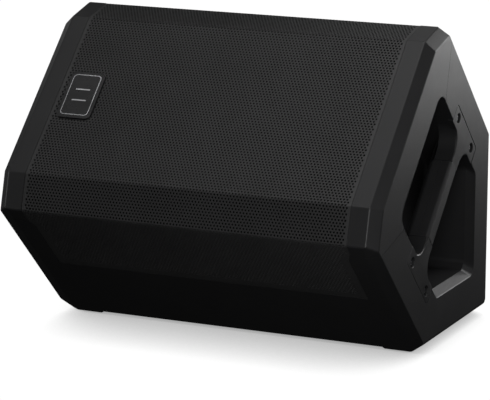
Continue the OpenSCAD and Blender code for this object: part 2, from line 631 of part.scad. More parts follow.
module control_board() color([0.05, 0.25, 0.12]) at_panel() difference() {
  union() {
    slab(-142, 24, 128, 181, -14.6, -13);
    for (p = knob_at) translate([p[0], p[1], 0]) {
      slab(-8, 8, -8, 8, -13.1, -3.2);
      rod(3.7, -4, 2);
    }
    for (p = button_at) translate([p[0], p[1], 0]) {
      slab(-4.8, 4.8, -4.8, 4.8, -13.1, -8.4);
    }
  }
  for (p = knob_at) translate([p[0], p[1], 0]) rod(3.05, -11, 5);
  for (x = [-138, 20]) translate([x, 154, 0]) rod(1.6, -20, 0);
}
module knob() {
  difference() {
    union() {
      translate([0, 0, 2.4]) cylinder(r1 = 8, r2 = 7.2, h = 10);
      rod(3, -9, 3);
    }
    for (i = [0:15]) rotate([0, 0, i * 22.5 + 11.25]) translate([8.3, 0, 4]) cylinder(r = 0.9, h = 10, $fn = 16);
    slab(-0.6, 0.6, 2.5, 9, 11.8, 14);
  }
}
module level_knob() color([0.08, 0.08, 0.08]) at_panel() translate([knob_at[0][0], knob_at[0][1], 0]) knob();
module treble_knob() color([0.08, 0.08, 0.08]) at_panel() translate([knob_at[1][0], knob_at[1][1], 0]) knob();
module bass_knob() color([0.08, 0.08, 0.08]) at_panel() translate([knob_at[2][0], knob_at[2][1], 0]) knob();
module filter_knob() color([0.08, 0.08, 0.08]) at_panel() translate([knob_at[3][0], knob_at[3][1], 0]) knob();
module button() {
  translate([0, 0, -6]) linear_extrude(9) pad(4.5, 4.5, 0.8);
  translate([0, 0, 2.9]) linear_extrude(0.7) pad(3.4, 3.4, 0.6);
}
module filter_button() color([0.3, 0.3, 0.3]) at_panel() translate([button_at[0][0], button_at[0][1], 0]) button();
module boost_button() color([0.3, 0.3, 0.3]) at_panel() translate([button_at[1][0], button_at[1][1], 0]) button();
module lift_button() color([0.3, 0.3, 0.3]) at_panel() translate([button_at[2][0], button_at[2][1], 0]) button();
module status_lights() color([0.2, 0.9, 0.3]) at_panel() for (i = [0:2]) translate([-32 + 18 * i, 206, 0]) {
  rod(2, -6, 0.6);
  intersection() {
    translate([0, 0, 0.5]) sphere(r = 2);
    rod(3, 0.5, 4);
  }
}
// Sheathed pair laid along a path, with a crimp at each bend
module driver_leads() color([0.4, 0.05, 0.05]) {
  for (q = [[[cab_x - 100, back_y - 99, 194], [-40, 95, 190], [20, 40, 215], [19.25, -61.5, 283.9]],
    [[cab_x + 100, back_y - 99, 194], [110, 60, 200], [horn_x + 1, 18, 214]]]) {
    for (i = [0:len(q) - 2]) let (d = q[i + 1] - q[i], l = norm(d)) translate(q[i])
      rotate([0, acos(d[2] / l), atan2(d[1], d[0])]) cylinder(r = 2.2, h = l, $fn = 12);
    for (p = q) translate(p) sphere(r = 3.4, $fn = 12);
  }
}

front_shell();
rear_shell();
shell_seal();
shell_screws();
grille();
grille_foam();
badge_plate();
badge_inlay();
handle_bar();
handle_grip();
handle_screws();
pole_socket();
pole_screws();
floor_feet();
end_feet();
wadding();
woofer_basket();
woofer_gasket();
woofer_surround();
woofer_cone();
dust_cap();
voice_coil();
woofer_spider();
front_plate();
woofer_magnet();
back_plate();
woofer_screws();
horn();
horn_screws();
hf_motor();
hf_cap();
hf_diaphragm();
hf_bolts();
amp_panel();
panel_screws();
heat_sink();
amp_cover();
amp_board();
supply_board();
transformer();
capacitors();
mains_inlet();
fuse_drawer();
switch_frame();
power_rocker();
input_socket();
latch_tab();
line_socket();
link_socket();
control_board();
level_knob();
treble_knob();
bass_knob();
filter_knob();
filter_button();
boost_button();
lift_button();
status_lights();
contact_pins();
driver_leads();
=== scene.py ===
import bpy, bmesh, json, math
from mathutils import Matrix, Vector
from mathutils.geometry import intersect_line_line, tessellate_polygon


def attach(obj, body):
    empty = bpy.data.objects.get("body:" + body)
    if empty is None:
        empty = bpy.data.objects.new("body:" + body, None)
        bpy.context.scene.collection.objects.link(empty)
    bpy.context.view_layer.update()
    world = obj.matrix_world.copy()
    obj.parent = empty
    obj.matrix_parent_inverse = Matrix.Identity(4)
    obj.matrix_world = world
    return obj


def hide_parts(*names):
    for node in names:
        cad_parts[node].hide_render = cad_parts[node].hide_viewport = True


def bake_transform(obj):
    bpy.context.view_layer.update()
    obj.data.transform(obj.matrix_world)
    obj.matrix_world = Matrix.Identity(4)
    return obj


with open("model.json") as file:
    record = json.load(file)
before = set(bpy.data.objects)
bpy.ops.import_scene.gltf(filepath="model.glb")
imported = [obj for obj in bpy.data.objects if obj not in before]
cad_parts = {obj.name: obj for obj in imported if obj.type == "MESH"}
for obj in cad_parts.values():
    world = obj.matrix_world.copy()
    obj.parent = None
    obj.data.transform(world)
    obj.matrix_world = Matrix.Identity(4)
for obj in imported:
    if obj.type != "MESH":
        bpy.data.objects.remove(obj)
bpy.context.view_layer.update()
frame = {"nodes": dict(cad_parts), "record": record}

NODES = frame["nodes"]
SCENE = bpy.context.scene

# Working meshes are made in millimetres, in one of the local frames below, and scaled to metres when placed.
# Half width, half height of the main face and of the whole front, depth from face to far corner, wall.
HALF, FACE, CHEEK, DEEP, WALL = 280.0, 133.0, 178.0, 292.0, 4.0
FEET = 2.5
R2 = math.sqrt(0.5)
BASE = (DEEP + CHEEK) * R2
CAB_X, CAB_Z = FEET / 2, BASE + FEET
CAB_Y = -(BASE - (CHEEK - (CHEEK - FACE) * math.tan(math.radians(30))) * R2) / 2
BACK_Y = CAB_Y + BASE
PANEL = 15.0
SCALE = Matrix.Scale(0.001, 4)
# CAB: x along the width, y up the main face, z out of it. BACK: right and up seen from behind, z out of it.
CAB = SCALE @ Matrix.Translation((CAB_X, CAB_Y, CAB_Z)) @ Matrix.Rotation(math.radians(45), 4, "X")
BACK = SCALE @ Matrix(((-1, 0, 0, CAB_X), (0, 0, 1, BACK_Y), (0, 1, 0, 0), (0, 0, 0, 1)))
AT_PANEL = BACK @ Matrix.Translation((0, 0, -PANEL))


# -------------------------------- outlines
def arc(p, a, b, r, n):
    """The corner p between the points a and b, rounded to the radius r in n steps."""
    p, a, b = Vector(p), Vector(a), Vector(b)
    if r < 0.01:
        return [tuple(p)]
    ua, ub = (a - p).normalized(), (b - p).normalized()
    g = ua.angle(ub) / 2
    c = p + (ua + ub).normalized() * (r / math.sin(g))
    s, e = p + ua * (r / math.tan(g)), p + ub * (r / math.tan(g))
    a0 = math.atan2(s.y - c.y, s.x - c.x)
    w = math.atan2(e.y - c.y, e.x - c.x) - a0
    w = (w + math.pi) % (2 * math.pi) - math.pi
    return [(c.x + r * math.cos(a0 + w * i / n), c.y + r * math.sin(a0 + w * i / n)) for i in range(n + 1)]


def soft(q, n=6):
    """Outline from corners given as (x, y, radius)."""
    m = len(q)
    return [pt for i in range(m) for pt in arc(q[i][:2], q[i - 1][:2], q[(i + 1) % m][:2], q[i][2], n)]


def pad(x, y, r, n=6):
    return soft([(-x, -y, r), (x, -y, r), (x, y, r), (-x, y, r)], n)


def circle(r, n=48, turn=0.0):
    angles = [turn + 2 * math.pi * i / n for i in range(n)]
    return [(r * math.cos(a), r * math.sin(a)) for a in angles]


def shift(q, dx, dy):
    return [(x + dx, y + dy) for x, y in q]


def area(q):
    return sum(q[i - 1][0] * q[i][1] - q[i][0] * q[i - 1][1] for i in range(len(q))) / 2


def grow(q, d):
    """Outline moved outwards by d, each corner kept as one point."""
    if area(q) < 0:
        d = -d
    out = []
    for i, p in enumerate(q):
        p = Vector(p)
        a, b = Vector(q[i - 1]), Vector(q[(i + 1) % len(q)])
        na, nb = (p - a).normalized(), (b - p).normalized()
        na, nb = Vector((na.y, -na.x)), Vector((nb.y, -nb.x))
        m = na + nb
        m = m / max(m.length_squared / 2, 0.35)
        out.append(tuple(p + m * d))
    return out


def up_x(q, x):
    return [Vector((x, a, b)) for a, b in q]


def up_y(q, y):
    return [Vector((a, y, b)) for a, b in q]


def up_z(q, z):
    return [Vector((a, b, z)) for a, b in q]


# -------------------------------- meshes
def temp(bm):
    """The bmesh as a working mesh."""
    me = bpy.data.meshes.new("t")
    bmesh.ops.recalc_face_normals(bm, faces=bm.faces[:])
    bm.to_mesh(me)
    bm.free()
    ob = bpy.data.objects.new("t", me)
    SCENE.collection.objects.link(ob)
    return ob


def loft(*rings):
    """Closed solid through rings with the same number of points."""
    bm = bmesh.new()
    vs = [[bm.verts.new(p) for p in ring] for ring in rings]
    n = len(rings[0])
    for a, b in zip(vs, vs[1:]):
        for i in range(n):
            bm.faces.new((a[i - 1], a[i], b[i], b[i - 1]))
    bm.faces.new(vs[0])
    bm.faces.new(vs[-1][::-1])
    return temp(bm)


def lathe(profile, n=48):
    """Solid of revolution about z from (radius, z) points, first and last on the axis or joined."""
    bm = bmesh.new()
    rings = []
    for r, z in profile:
        rings.append([bm.verts.new((x, y, z)) for x, y in (circle(r, n) if r > 0 else [(0, 0)])])
    pairs = list(zip(rings, rings[1:]))
    if len(rings[0]) > 1 and len(rings[-1]) > 1:
        pairs.append((rings[-1], rings[0]))
    for a, b in pairs:
        for i in range(n):
            if len(a) == 1:
                bm.faces.new((a[0], b[i], b[i - 1]))
            elif len(b) == 1:
                bm.faces.new((a[i - 1], a[i], b[0]))
            else:
                bm.faces.new((a[i - 1], a[i], b[i], b[i - 1]))
    return temp(bm)


def drop(*obs):
    for ob in obs:
        me = ob.data
        bpy.data.objects.remove(ob)
        bpy.data.meshes.remove(me)


def bake(ob):
    """Applies the modifiers of a working mesh."""
    bpy.context.view_layer.update()
    me = bpy.data.meshes.new_from_object(ob.evaluated_get(bpy.context.evaluated_depsgraph_get()))
    ob.modifiers.clear()
    old, ob.data = ob.data, me
    bpy.data.meshes.remove(old)
    return ob


def cut(ob, *tools, how="DIFFERENCE"):
    """Takes working meshes off another one, and drops them."""
    for tool in tools:
        m = ob.modifiers.new("b", "BOOLEAN")
        m.object, m.operation, m.solver = tool, how, "MANIFOLD"
        bake(ob)
        drop(tool)
    return ob


def add(ob, *tools):
    return cut(ob, *tools, how="UNION")


def common(ob, *tools):
    return cut(ob, *tools, how="INTERSECT")


def copies(ob, *mats):
    """The same working mesh at several places, as one mesh."""
    bm = bmesh.new()
    for m in mats:
        me = ob.data.copy()
        me.transform(m)
        bm.from_mesh(me)
        bpy.data.meshes.remove(me)
    drop(ob)
    return temp(bm)


def moved(ob, *steps):
    for m in steps:
        ob.data.transform(m)
    return ob


def at(x=0.0, y=0.0, z=0.0):
    return Matrix.Translation((x, y, z))


def turned(deg, axis):
    return Matrix.Rotation(math.radians(deg), 4, axis)


def joined(*obs):
    """Separate working meshes as one mesh."""
    bm = bmesh.new()
    for ob in obs:
        bm.from_mesh(ob.data)
    drop(*obs)
    return temp(bm)


BIG_FLAT = 3e-4  # square metres


def corner_normals(bm):
    """Shading that keeps big flats flat: a corner of a small face takes the normals round it across soft
    edges, weighted by the square of the flat area each belongs to."""
    bm.faces.ensure_lookup_table()
    bm.faces.index_update()
    root = list(range(len(bm.faces)))

    def find(i):
        while root[i] != i:
            root[i] = root[root[i]]
            i = root[i]
        return i

    for e in bm.edges:
        if e.is_manifold and e.calc_face_angle(9) < math.radians(0.3):
            a, b = (find(f.index) for f in e.link_faces)
            root[a] = b
    size = {}
    for f in bm.faces:
        size[find(f.index)] = size.get(find(f.index), 0) + f.calc_area()
    weight = [size[find(f.index)] for f in bm.faces]
    out = []
    for f in bm.faces:
        for corner in f.loops:
            if weight[f.index] > BIG_FLAT:
                out.append(tuple(f.normal))
                continue
            seen, todo, n = {f}, [f], Vector()
            while todo:
                g = todo.pop()
                n += g.normal * (weight[g.index] * 1e6) ** 2
                for e in corner.vert.link_edges:
                    if e.smooth and e.is_manifold and g in e.link_faces:
                        for h in e.link_faces:
                            if h not in seen:
                                seen.add(h)
                                todo.append(h)
            out.append(tuple(n.normalized() if n.length > 1e-12 else f.normal))
    return out


def piece(ob, name, place, slot, *nodes, body="cabinet", finish=None, angle=28):
    """Places a working mesh in metres, shades it, and hands it to a body. The finish is the slot's unless
    given."""
    me = ob.data
    me.transform(place)
    bm = bmesh.new()
    bm.from_mesh(me)
    bmesh.ops.remove_doubles(bm, verts=bm.verts[:], dist=2e-6)
    bmesh.ops.dissolve_degenerate(bm, edges=bm.edges[:], dist=1e-6)
    if place.determinant() < 0:
        bmesh.ops.reverse_faces(bm, faces=bm.faces[:])
    bmesh.ops.dissolve_limit(bm, angle_limit=math.radians(0.05), verts=bm.verts[:], edges=bm.edges[:])
    for f in bm.faces:
        f.smooth = True
    for e in bm.edges:
        e.smooth = e.is_manifold and e.calc_face_angle(0) < math.radians(angle)
    normals = corner_normals(bm)
    bm.to_mesh(me)
    bm.free()
    me.normals_split_custom_set(normals)
    ob.name = me.name = name
    me.materials.clear()
    me.materials.append(finish or M[slot])
    if body:
        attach(ob, body)
    if nodes:
        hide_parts(*nodes)
    return ob


# -------------------------------- materials
def empty_tree(owner):
    """Clears the nodes of a material or world, and gives the two functions that add and link new ones."""
    owner.use_nodes = True
    tree = owner.node_tree
    tree.nodes.clear()
    return lambda kind: tree.nodes.new("ShaderNode" + kind), tree.links.new


def map_range(node, link, src, to, start):
    """The value src, stretched from the range start to the range to."""
    r = node("MapRange")
    r.inputs["From Min"].default_value, r.inputs["From Max"].default_value = start
    r.inputs["To Min"].default_value, r.inputs["To Max"].default_value = to
    link(src, r.inputs["Value"])
    return r.outputs[0]


def stuff(name, color, rough, grain, bump, metal=0.0, tint=0.12, swing=0.06, detail=6.0, coat=0.0, sheen=0.0,
          spec=0.5, voronoi=False, stretch=(1, 1, 1)):
    """Principled finish with its own colour drift, roughness drift and surface grain, all from noise in
    object space. grain is the size of the grain in millimetres and bump its height."""
    m = bpy.data.materials.new(name)
    node, link = empty_tree(m)
    out, p = node("OutputMaterial"), node("BsdfPrincipled")
    link(p.outputs[0], out.inputs[0])
    p.inputs["Metallic"].default_value = metal
    p.inputs["Specular IOR Level"].default_value = spec
    if coat:
        p.inputs["Coat Weight"].default_value = coat
        p.inputs["Coat Roughness"].default_value = 0.12
    if sheen:
        p.inputs["Sheen Weight"].default_value = sheen
        p.inputs["Sheen Roughness"].default_value = 0.6
    coords, place = node("TexCoord"), node("Mapping")
    place.inputs["Scale"].default_value = stretch
    link(coords.outputs["Object"], place.inputs[0])

    def noise(scale, det, rough=0.55):
        n = node("TexNoise")
        n.inputs["Scale"].default_value = scale
        n.inputs["Detail"].default_value = det
        n.inputs["Roughness"].default_value = rough
        link(place.outputs[0], n.inputs["Vector"])
        return n.outputs["Fac"]

    def ramp(src, a, b):
        return map_range(node, link, src, (a, b), (0.3, 0.7))

    broad, fine = noise(14.0, 4.0), noise(420.0, 3.0)
    mix, drift = node("Mix"), node("Math")
    mix.data_type, drift.operation = "RGBA", "MULTIPLY_ADD"
    link(fine, drift.inputs[0])
    drift.inputs[1].default_value = 0.45
    link(ramp(broad, 0.0, 0.55), drift.inputs[2])
    link(drift.outputs[0], mix.inputs["Factor"])
    mix.inputs[6].default_value = (*[c * (1 - tint) for c in color], 1)
    mix.inputs[7].default_value = (*[min(1.0, c * (1 + tint) + 0.002) for c in color], 1)
    link(mix.outputs[2], p.inputs["Base Color"])
    link(ramp(noise(38.0, 5.0), rough - swing, rough + swing), p.inputs["Roughness"])
    if voronoi:
        cells = node("TexVoronoi")
        cells.feature = "SMOOTH_F1"
        cells.inputs["Scale"].default_value = 1000.0 / grain
        link(place.outputs[0], cells.inputs["Vector"])
        height = cells.outputs["Distance"]
    else:
        height = noise(1000.0 / grain, detail, 0.6)
    b = node("Bump")
    b.inputs["Strength"].default_value = 1.0
    b.inputs["Distance"].default_value = bump * 0.001
    link(height, b.inputs["Height"])
    link(b.outputs[0], p.inputs["Normal"])
    return m


M = {
    "shell_plastic": stuff("moulded_plastic", (0.026, 0.026, 0.027), 0.40, 1.1, 0.03, detail=3, swing=0.02),
    "handle_plastic": stuff("bar_plastic", (0.026, 0.026, 0.027), 0.38, 0.9, 0.02, detail=3),
    "grip_rubber": stuff("grip_sleeve", (0.022, 0.022, 0.023), 0.50, 0.6, 0.03),
    "foot_rubber": stuff("foot_rubber", (0.02, 0.02, 0.02), 0.75, 0.8, 0.06),
    "seal_rubber": stuff("seal_rubber", (0.012, 0.012, 0.012), 0.7, 0.7, 0.04),
    "grille_steel": stuff("coated_steel", (0.05, 0.05, 0.0505), 0.40, 0.35, 0.012, swing=0.05),
    "foam": stuff("open_foam", (0.004, 0.004, 0.004), 0.95, 1.3, 0.5, voronoi=True, spec=0.1),
    "badge_plastic": stuff("badge_gloss", (0.008, 0.008, 0.009), 0.27, 3.0, 0.01, spec=0.4, swing=0.04),
    "badge_metal": stuff("satin_silver", (0.62, 0.62, 0.64), 0.28, 0.25, 0.01, metal=1.0),
    "black_screws": stuff("black_screw", (0.16, 0.16, 0.165), 0.24, 0.4, 0.01, metal=0.9),
    "bright_screws": stuff("zinc_screw", (0.55, 0.55, 0.57), 0.3, 0.3, 0.01, metal=1.0),
    "socket_plastic": stuff("socket_plastic", (0.03, 0.03, 0.031), 0.45, 0.8, 0.02),
    "wadding_fibre": stuff("wadding", (0.7, 0.7, 0.66), 0.95, 2.5, 1.2, sheen=0.5, tint=0.2, spec=0.1),
    "basket_steel": stuff("basket_paint", (0.035, 0.035, 0.036), 0.4, 0.8, 0.02),
    "cone_paper": stuff("pulp_cone", (0.03, 0.03, 0.03), 0.8, 1.2, 0.12, tint=0.3),
    "copper": stuff("copper_coil", (0.7, 0.32, 0.16), 0.32, 0.4, 0.05, metal=1.0, stretch=(1, 1, 6)),
    "spider_cloth": stuff("resin_cloth", (0.45, 0.3, 0.1), 0.85, 0.7, 0.2, sheen=0.3),
    "plated_steel": stuff("zinc_plate", (0.5, 0.5, 0.52), 0.36, 1.5, 0.01, metal=1.0, tint=0.18),
    "ferrite": stuff("ferrite", (0.045, 0.045, 0.05), 0.6, 0.8, 0.05, tint=0.25),
    "diaphragm_metal": stuff("thin_metal", (0.7, 0.7, 0.72), 0.2, 0.6, 0.01, metal=1.0),
    "panel_paint": stuff("panel_paint", (0.024, 0.024, 0.025), 0.52, 0.55, 0.05, voronoi=True),
    "sink_aluminium": stuff("black_anodised", (0.03, 0.03, 0.032), 0.36, 0.3, 0.01, metal=0.7,
                            stretch=(1, 1, 0.08)),
    "board_laminate": stuff("solder_resist", (0.02, 0.16, 0.06), 0.35, 1.4, 0.02, coat=0.3, tint=0.3),
    "coil_wrap": stuff("coil_tape", (0.55, 0.36, 0.05), 0.4, 2.0, 0.05, tint=0.2),
    "capacitor_sleeve": stuff("shrink_sleeve", (0.015, 0.015, 0.07), 0.25, 1.5, 0.02),
    "connector_plastic": stuff("connector_plastic", (0.018, 0.018, 0.019), 0.34, 0.9, 0.015),
    "rocker_plastic": stuff("rocker_plastic", (0.36, 0.012, 0.01), 0.25, 1.5, 0.01, coat=0.3),
    "tab_metal": stuff("nickel_tab", (0.6, 0.58, 0.54), 0.26, 0.5, 0.01, metal=1.0),
    "knob_plastic": stuff("knob_plastic", (0.022, 0.022, 0.023), 0.42, 0.5, 0.02),
    "button_plastic": stuff("button_plastic", (0.2, 0.2, 0.205), 0.4, 0.6, 0.02),
    "light_lens": stuff("tinted_lens", (0.12, 0.5, 0.16), 0.14, 1.0, 0.01, coat=0.5),
    "lead_sheath": stuff("lead_sheath", (0.3, 0.015, 0.012), 0.45, 0.8, 0.05, tint=0.3),
}
PRINT = stuff("pale_print", (0.55, 0.55, 0.54), 0.5, 0.4, 0.01)
POINTER = stuff("pointer_inlay", (0.72, 0.72, 0.7), 0.4, 0.6, 0.01)
SLOT_OF = {s["node"]: s["material_slot"] for s in frame["record"]["subparts"]}
for name, ob in NODES.items():
    ob.data.materials.clear()
    ob.data.materials.append(M[SLOT_OF[name]])

# -------------------------------- cabinet outline
# One row per flat: turn about x, distance from the axis, drop and run of the slanted rim at each end, and
# the softening of its rim edges and end edges.
FLATS = [(0, 0, 11.4, 14.2, 1.3, 1.3),
         (-30, FACE / 2, 13.4, 14.2, 1.3, 1.3), (30, FACE / 2, 13.4, 14.2, 1.3, 1.3),
         (-90, CHEEK, 4.4, 18.5, 1.3, 1.3), (90, CHEEK, 4.4, 18.5, 1.3, 1.3),
         (-135, BASE, 16.2, 22.5, 3.0, 3.0), (135, BASE, 16.2, 22.5, 3.0, 3.0),
         (180, DEEP + CHEEK - 7, 19, 22.5, 3.0, 3.0)]
# Softening between two neighbouring flats, or their rims
FOLD = {(0, 1): 1.1, (0, 2): 1.1, (1, 3): 2.3, (2, 4): 2.3,
        (3, 5): 3.4, (4, 6): 3.4, (5, 7): 3.2, (6, 7): 3.2}
WIDEST = 6.0


def cabinet(t=0.0, foot=0.0, rounded=False):
    """The whole outside moved inwards by t, and by foot more at the base."""
    planes = []
    for i, (turn, d, inset, run, _, _) in enumerate(FLATS):
        a = math.radians(turn)
        n = Vector((0, -math.sin(a), math.cos(a)))
        d = d - t - (foot if turn == 135 else 0)
        planes.append((n, n * d, ("flat", i)))
        for s in (-1, 1):
            c = (Vector((s * inset, 0, 0)) + n * run).normalized()
            planes.append((c, Vector((s * (HALF - t), 0, 0)) + n * (d - inset), ("rim", i)))
    for s in (-1, 1):
        planes.append((Vector((s, 0, 0)), Vector((s * (HALF - t), 0, 0)), ("end", -1)))
    bm = bmesh.new()
    bmesh.ops.create_cube(bm, size=2000)
    for n, co, _ in planes:
        geom = bm.verts[:] + bm.edges[:] + bm.faces[:]
        made = bmesh.ops.bisect_plane(bm, geom=geom, dist=1e-4, plane_co=co, plane_no=n, clear_outer=True)
        edges = [e for e in made["geom_cut"] if isinstance(e, bmesh.types.BMEdge) and e.is_boundary]
        if edges:
            bmesh.ops.contextual_create(bm, geom=edges)
    bmesh.ops.recalc_face_normals(bm, faces=bm.faces[:])
    if rounded:
        lay = bm.edges.layers.float.new("bevel_weight_edge")
        bm.faces.ensure_lookup_table()
        kind = [min(planes, key=lambda p: (p[0] - f.normal).length + abs(p[0].dot(p[1] - f.verts[0].co)))[2]
                for f in bm.faces]
        for e in bm.edges:
            (ka, ia), (kb, ib) = (kind[f.index] for f in e.link_faces)
            if ka == kb:
                w = FOLD.get((min(ia, ib), max(ia, ib)), 1.0)
            elif "end" in (ka, kb):
                w = FLATS[max(ia, ib)][5]
            else:
                w = FLATS[ia][4]
            e[lay] = w / WIDEST
    ob = temp(bm)
    if rounded:
        b = ob.modifiers.new("round", "BEVEL")
        b.limit_method, b.width, b.segments, b.offset_type = "WEIGHT", WIDEST, 4, "OFFSET"
        b.use_clamp_overlap = False
        bake(ob)
        mend_spurs(ob)
    return ob


def mend_spurs(ob):
    """Where two roundings meet, a flat can end in a short backward edge: both its ends go to the corner."""
    large, spur = 500, 4  # square millimetres, millimetres
    bm = bmesh.new()
    bm.from_mesh(ob.data)
    for f in [f for f in bm.faces if f.calc_area() > large]:
        vs = [c.vert for c in f.loops]
        for i in range(len(vs)):
            a, b, c, d = (vs[(i + k) % len(vs)] for k in range(4))
            turns = [(q.co - p.co).cross(r.co - q.co).dot(f.normal) for p, q, r in ((a, b, c), (b, c, d))]
            if max(turns) < -0.1 and (b.co - c.co).length < spur:
                b.co = c.co = intersect_line_line(a.co, b.co, c.co, d.co)[0]
    bmesh.ops.remove_doubles(bm, verts=bm.verts[:], dist=1e-4)
    bm.to_mesh(ob.data)
    bm.free()


def slab(x0, x1, y0, y1, z0, z1):
    return prism_z([(x0, y0), (x1, y0), (x1, y1), (x0, y1)], z0, z1)


def prism_x(q, a, b):
    return loft(up_x(q, a), up_x(q, b))


def prism_y(q, a, b):
    return loft(up_y(q, a), up_y(q, b))


def prism_z(q, a, b):
    return loft(up_z(q, a), up_z(q, b))


def rod(r, z0, z1, n=40):
    return prism_z(circle(r, n), z0, z1)


SEAM_V, SEAM_IN = 50.0, 92.0


def seam(g):
    """Parting line between the two mouldings, moved up by g."""
    return [(-CHEEK - 30, -SEAM_V + g), (-174, -SEAM_V + g), (-104, -SEAM_IN + g),
            (104, -SEAM_IN + g), (174, -SEAM_V + g), (CHEEK + 30, -SEAM_V + g)]


def zone(far, g):
    """Everything from the parting line to the height far, g short of the line."""
    return prism_x([(-CHEEK - 30, far)] + seam(g) + [(CHEEK + 30, far)], -HALF - 10, HALF + 10)


def front_zone():
    return zone(60, 0.25)


def rear_zone():
    return zone(-600, -0.25)


# -------------------------------- pocket and handle seats
POCKET_HALF, POCKET_DEEP, HANDLE_V, BAR_W = 103.0, 74.0, 189.0, 25.0
POCKET_NEAR, POCKET_BEND, POCKET_FAR = -69, -268, -364
TAN_22 = 0.414  # tangent of 22.5 degrees
SCREW_U, SCREW_V = 117, 36
BEVEL_IN, BEVEL_DEEP = 9.0, 11.5


def pocket_ring(x, t=0.0, c=0.0):
    """Outline of the pocket at x, t wider all round, its two sloping sides moved in by c."""
    h, f, tip = POCKET_HALF + t, POCKET_NEAR + t, 7 + TAN_22 * t
    k, m = POCKET_FAR - t + c * math.sqrt(2), POCKET_BEND - TAN_22 * t + c * math.sqrt(2)
    return up_x(soft([(-h, f, 21), (h, f, 21), (h, m, 14), (tip, k, 10), (-tip, k, 10), (-h, m, 14)], 8), x)


def pocket_wall(t):
    """Outside of the moulding round the pocket."""
    return loft(pocket_ring(HALF - POCKET_DEEP - t, t, BEVEL_IN),
                pocket_ring(HALF - BEVEL_DEEP - t, t, BEVEL_IN),
                pocket_ring(HALF - 2, t), pocket_ring(HALF + 5, t))


def pocket_space():
    """The hollow itself: softened mouth, sloping rear walls, rounded floor."""
    lip, foot = 0.8, 7.0
    rings = [pocket_ring(HALF + 6, lip)]
    for i in range(4):
        a = math.radians(30 * i)
        d = lip * (1 - math.cos(a))
        rings.append(pocket_ring(HALF - d, lip * (1 - math.sin(a)), BEVEL_IN * d / BEVEL_DEEP))
    rings.append(pocket_ring(HALF - BEVEL_DEEP, 0, BEVEL_IN))
    for i in range(6):
        a = math.radians(18 * i)
        x = HALF - POCKET_DEEP + foot * (1 - math.sin(a))
        rings.append(pocket_ring(x, -foot * (1 - math.cos(a)), BEVEL_IN))
    return loft(*rings)


def plate_seat(t, d):
    """Seat of the upper end plate of the handle, t wider than the plate and d deep."""
    q = soft([(POCKET_HALF - 2, -HANDLE_V - 53 - t, 0), (129 + t, -HANDLE_V - 53 - t, 5),
              (129 + t, -HANDLE_V + 53 + t, 5), (POCKET_HALF - 2, -HANDLE_V + 53 + t, 0)], 4)
    lip = 0.45
    return loft(up_x(q, HALF - d), up_x(q, HALF - lip), up_x(grow(q, lip * 0.3), HALF - lip * 0.3),
                up_x(grow(q, lip), HALF), up_x(grow(q, lip), HALF + 5))


def both(ob):
    """The mesh and its mirror image at the other end of the handle."""
    return copies(ob, Matrix.Identity(4), Matrix.Diagonal((1, -1, 1, 1)))


def screw_spots(x=0.0, v=0.0):
    return [at(x, s * SCREW_U, v + w) for s in (-1, 1) for w in (-SCREW_V, SCREW_V)]


def bore_x(r, a, b, n=32):
    return prism_x(circle(r, n), a, b)


# -------------------------------- front shell
GRILLE_HALF, GRILLE_WRAP, BAFFLE = 240.0, 158.0, 26.0
# The grille is narrower by STEP down its two long walls, below a slope from STEP_TOP to STEP_LOW
STEP, STEP_TOP, STEP_LOW = 7, -45, -62
SHELL_SCREWS = [(x, s * 163) for s in (1, -1) for x in (-205, -68, 68, 205)]


def width_outline(g):
    """Outline of the grille's space across, g narrower: wide at the face, narrower down the two walls."""
    a, b = GRILLE_HALF - g, GRILLE_HALF - g - STEP
    right = [(b, -GRILLE_WRAP + g), (b, STEP_LOW), (a, STEP_TOP), (a, 20)]
    return right + [(-x, z) for x, z in reversed(right)]


def grille_slot():
    inner = common(slab(-HALF, HALF, -300, 300, -GRILLE_WRAP, 30), prism_y(width_outline(0), -300, 300))
    core = slab(-HALF - 1, HALF + 1, -CHEEK + 2, CHEEK - 2, -GRILLE_WRAP - 1, -BAFFLE)
    cut(core, both(slab(-HALF - 2, HALF + 2, CHEEK - 6, CHEEK - 1.9, -BAFFLE - 1.6, 0)))
    return cut(inner, core)


def slot_lips(ob):
    """Rounds the two long edges of the moulding along the ends of the grille."""
    bm = bmesh.new()
    bm.from_mesh(ob.data)
    bmesh.ops.remove_doubles(bm, verts=bm.verts[:], dist=1e-3)
    bmesh.ops.dissolve_limit(bm, angle_limit=math.radians(0.05), verts=bm.verts[:], edges=bm.edges[:])
    picked = []
    for e in bm.edges:
        if not e.is_manifold or any(abs(abs(v.co.x) - GRILLE_HALF) > 0.02 for v in e.verts):
            continue
        side, flat = sorted(e.link_faces, key=lambda f: -abs(f.normal.x))
        lowest = min(v.co.z for v in e.verts)
        if abs(side.normal.x) > 0.99 and abs(flat.normal.x) < 0.05 and lowest > STEP_TOP - 0.5:
            if flat.normal.z > 0.4 and side.normal.x * side.calc_center_median().x < 0:
                picked.append(e)
    bmesh.ops.bevel(bm, geom=picked, offset=0.5, segments=2, profile=0.5, affect="EDGES", clamp_overlap=False)
    bm.to_mesh(ob.data)
    bm.free()
    return ob


WOOFER_X, WOOFER_R, HORN_X, HORN_HALF_X, HORN_HALF_U = -82.0, 141, 153.0, 64, 117


def front_shell():
    ob = common(cabinet(rounded=True), front_zone())
    cut(ob, cut(cabinet(WALL), slab(-GRILLE_HALF - WALL, GRILLE_HALF + WALL, -300, 300, -BAFFLE - 8, 30)))
    add(ob, common(cabinet(1), front_zone(), pocket_wall(WALL)))
    cut(ob, grille_slot(), pocket_space())
    cut(ob, moved(rod(WOOFER_R, -60, 0, 72), at(WOOFER_X)),
        slab(HORN_X - HORN_HALF_X, HORN_X + HORN_HALF_X, -HORN_HALF_U, HORN_HALF_U, -60, 0))
    cut(ob, copies(rod(5.2, -BAFFLE - 5.2, 0, 20), *[at(x, y) for x, y in SHELL_SCREWS]))
    return slot_lips(ob)


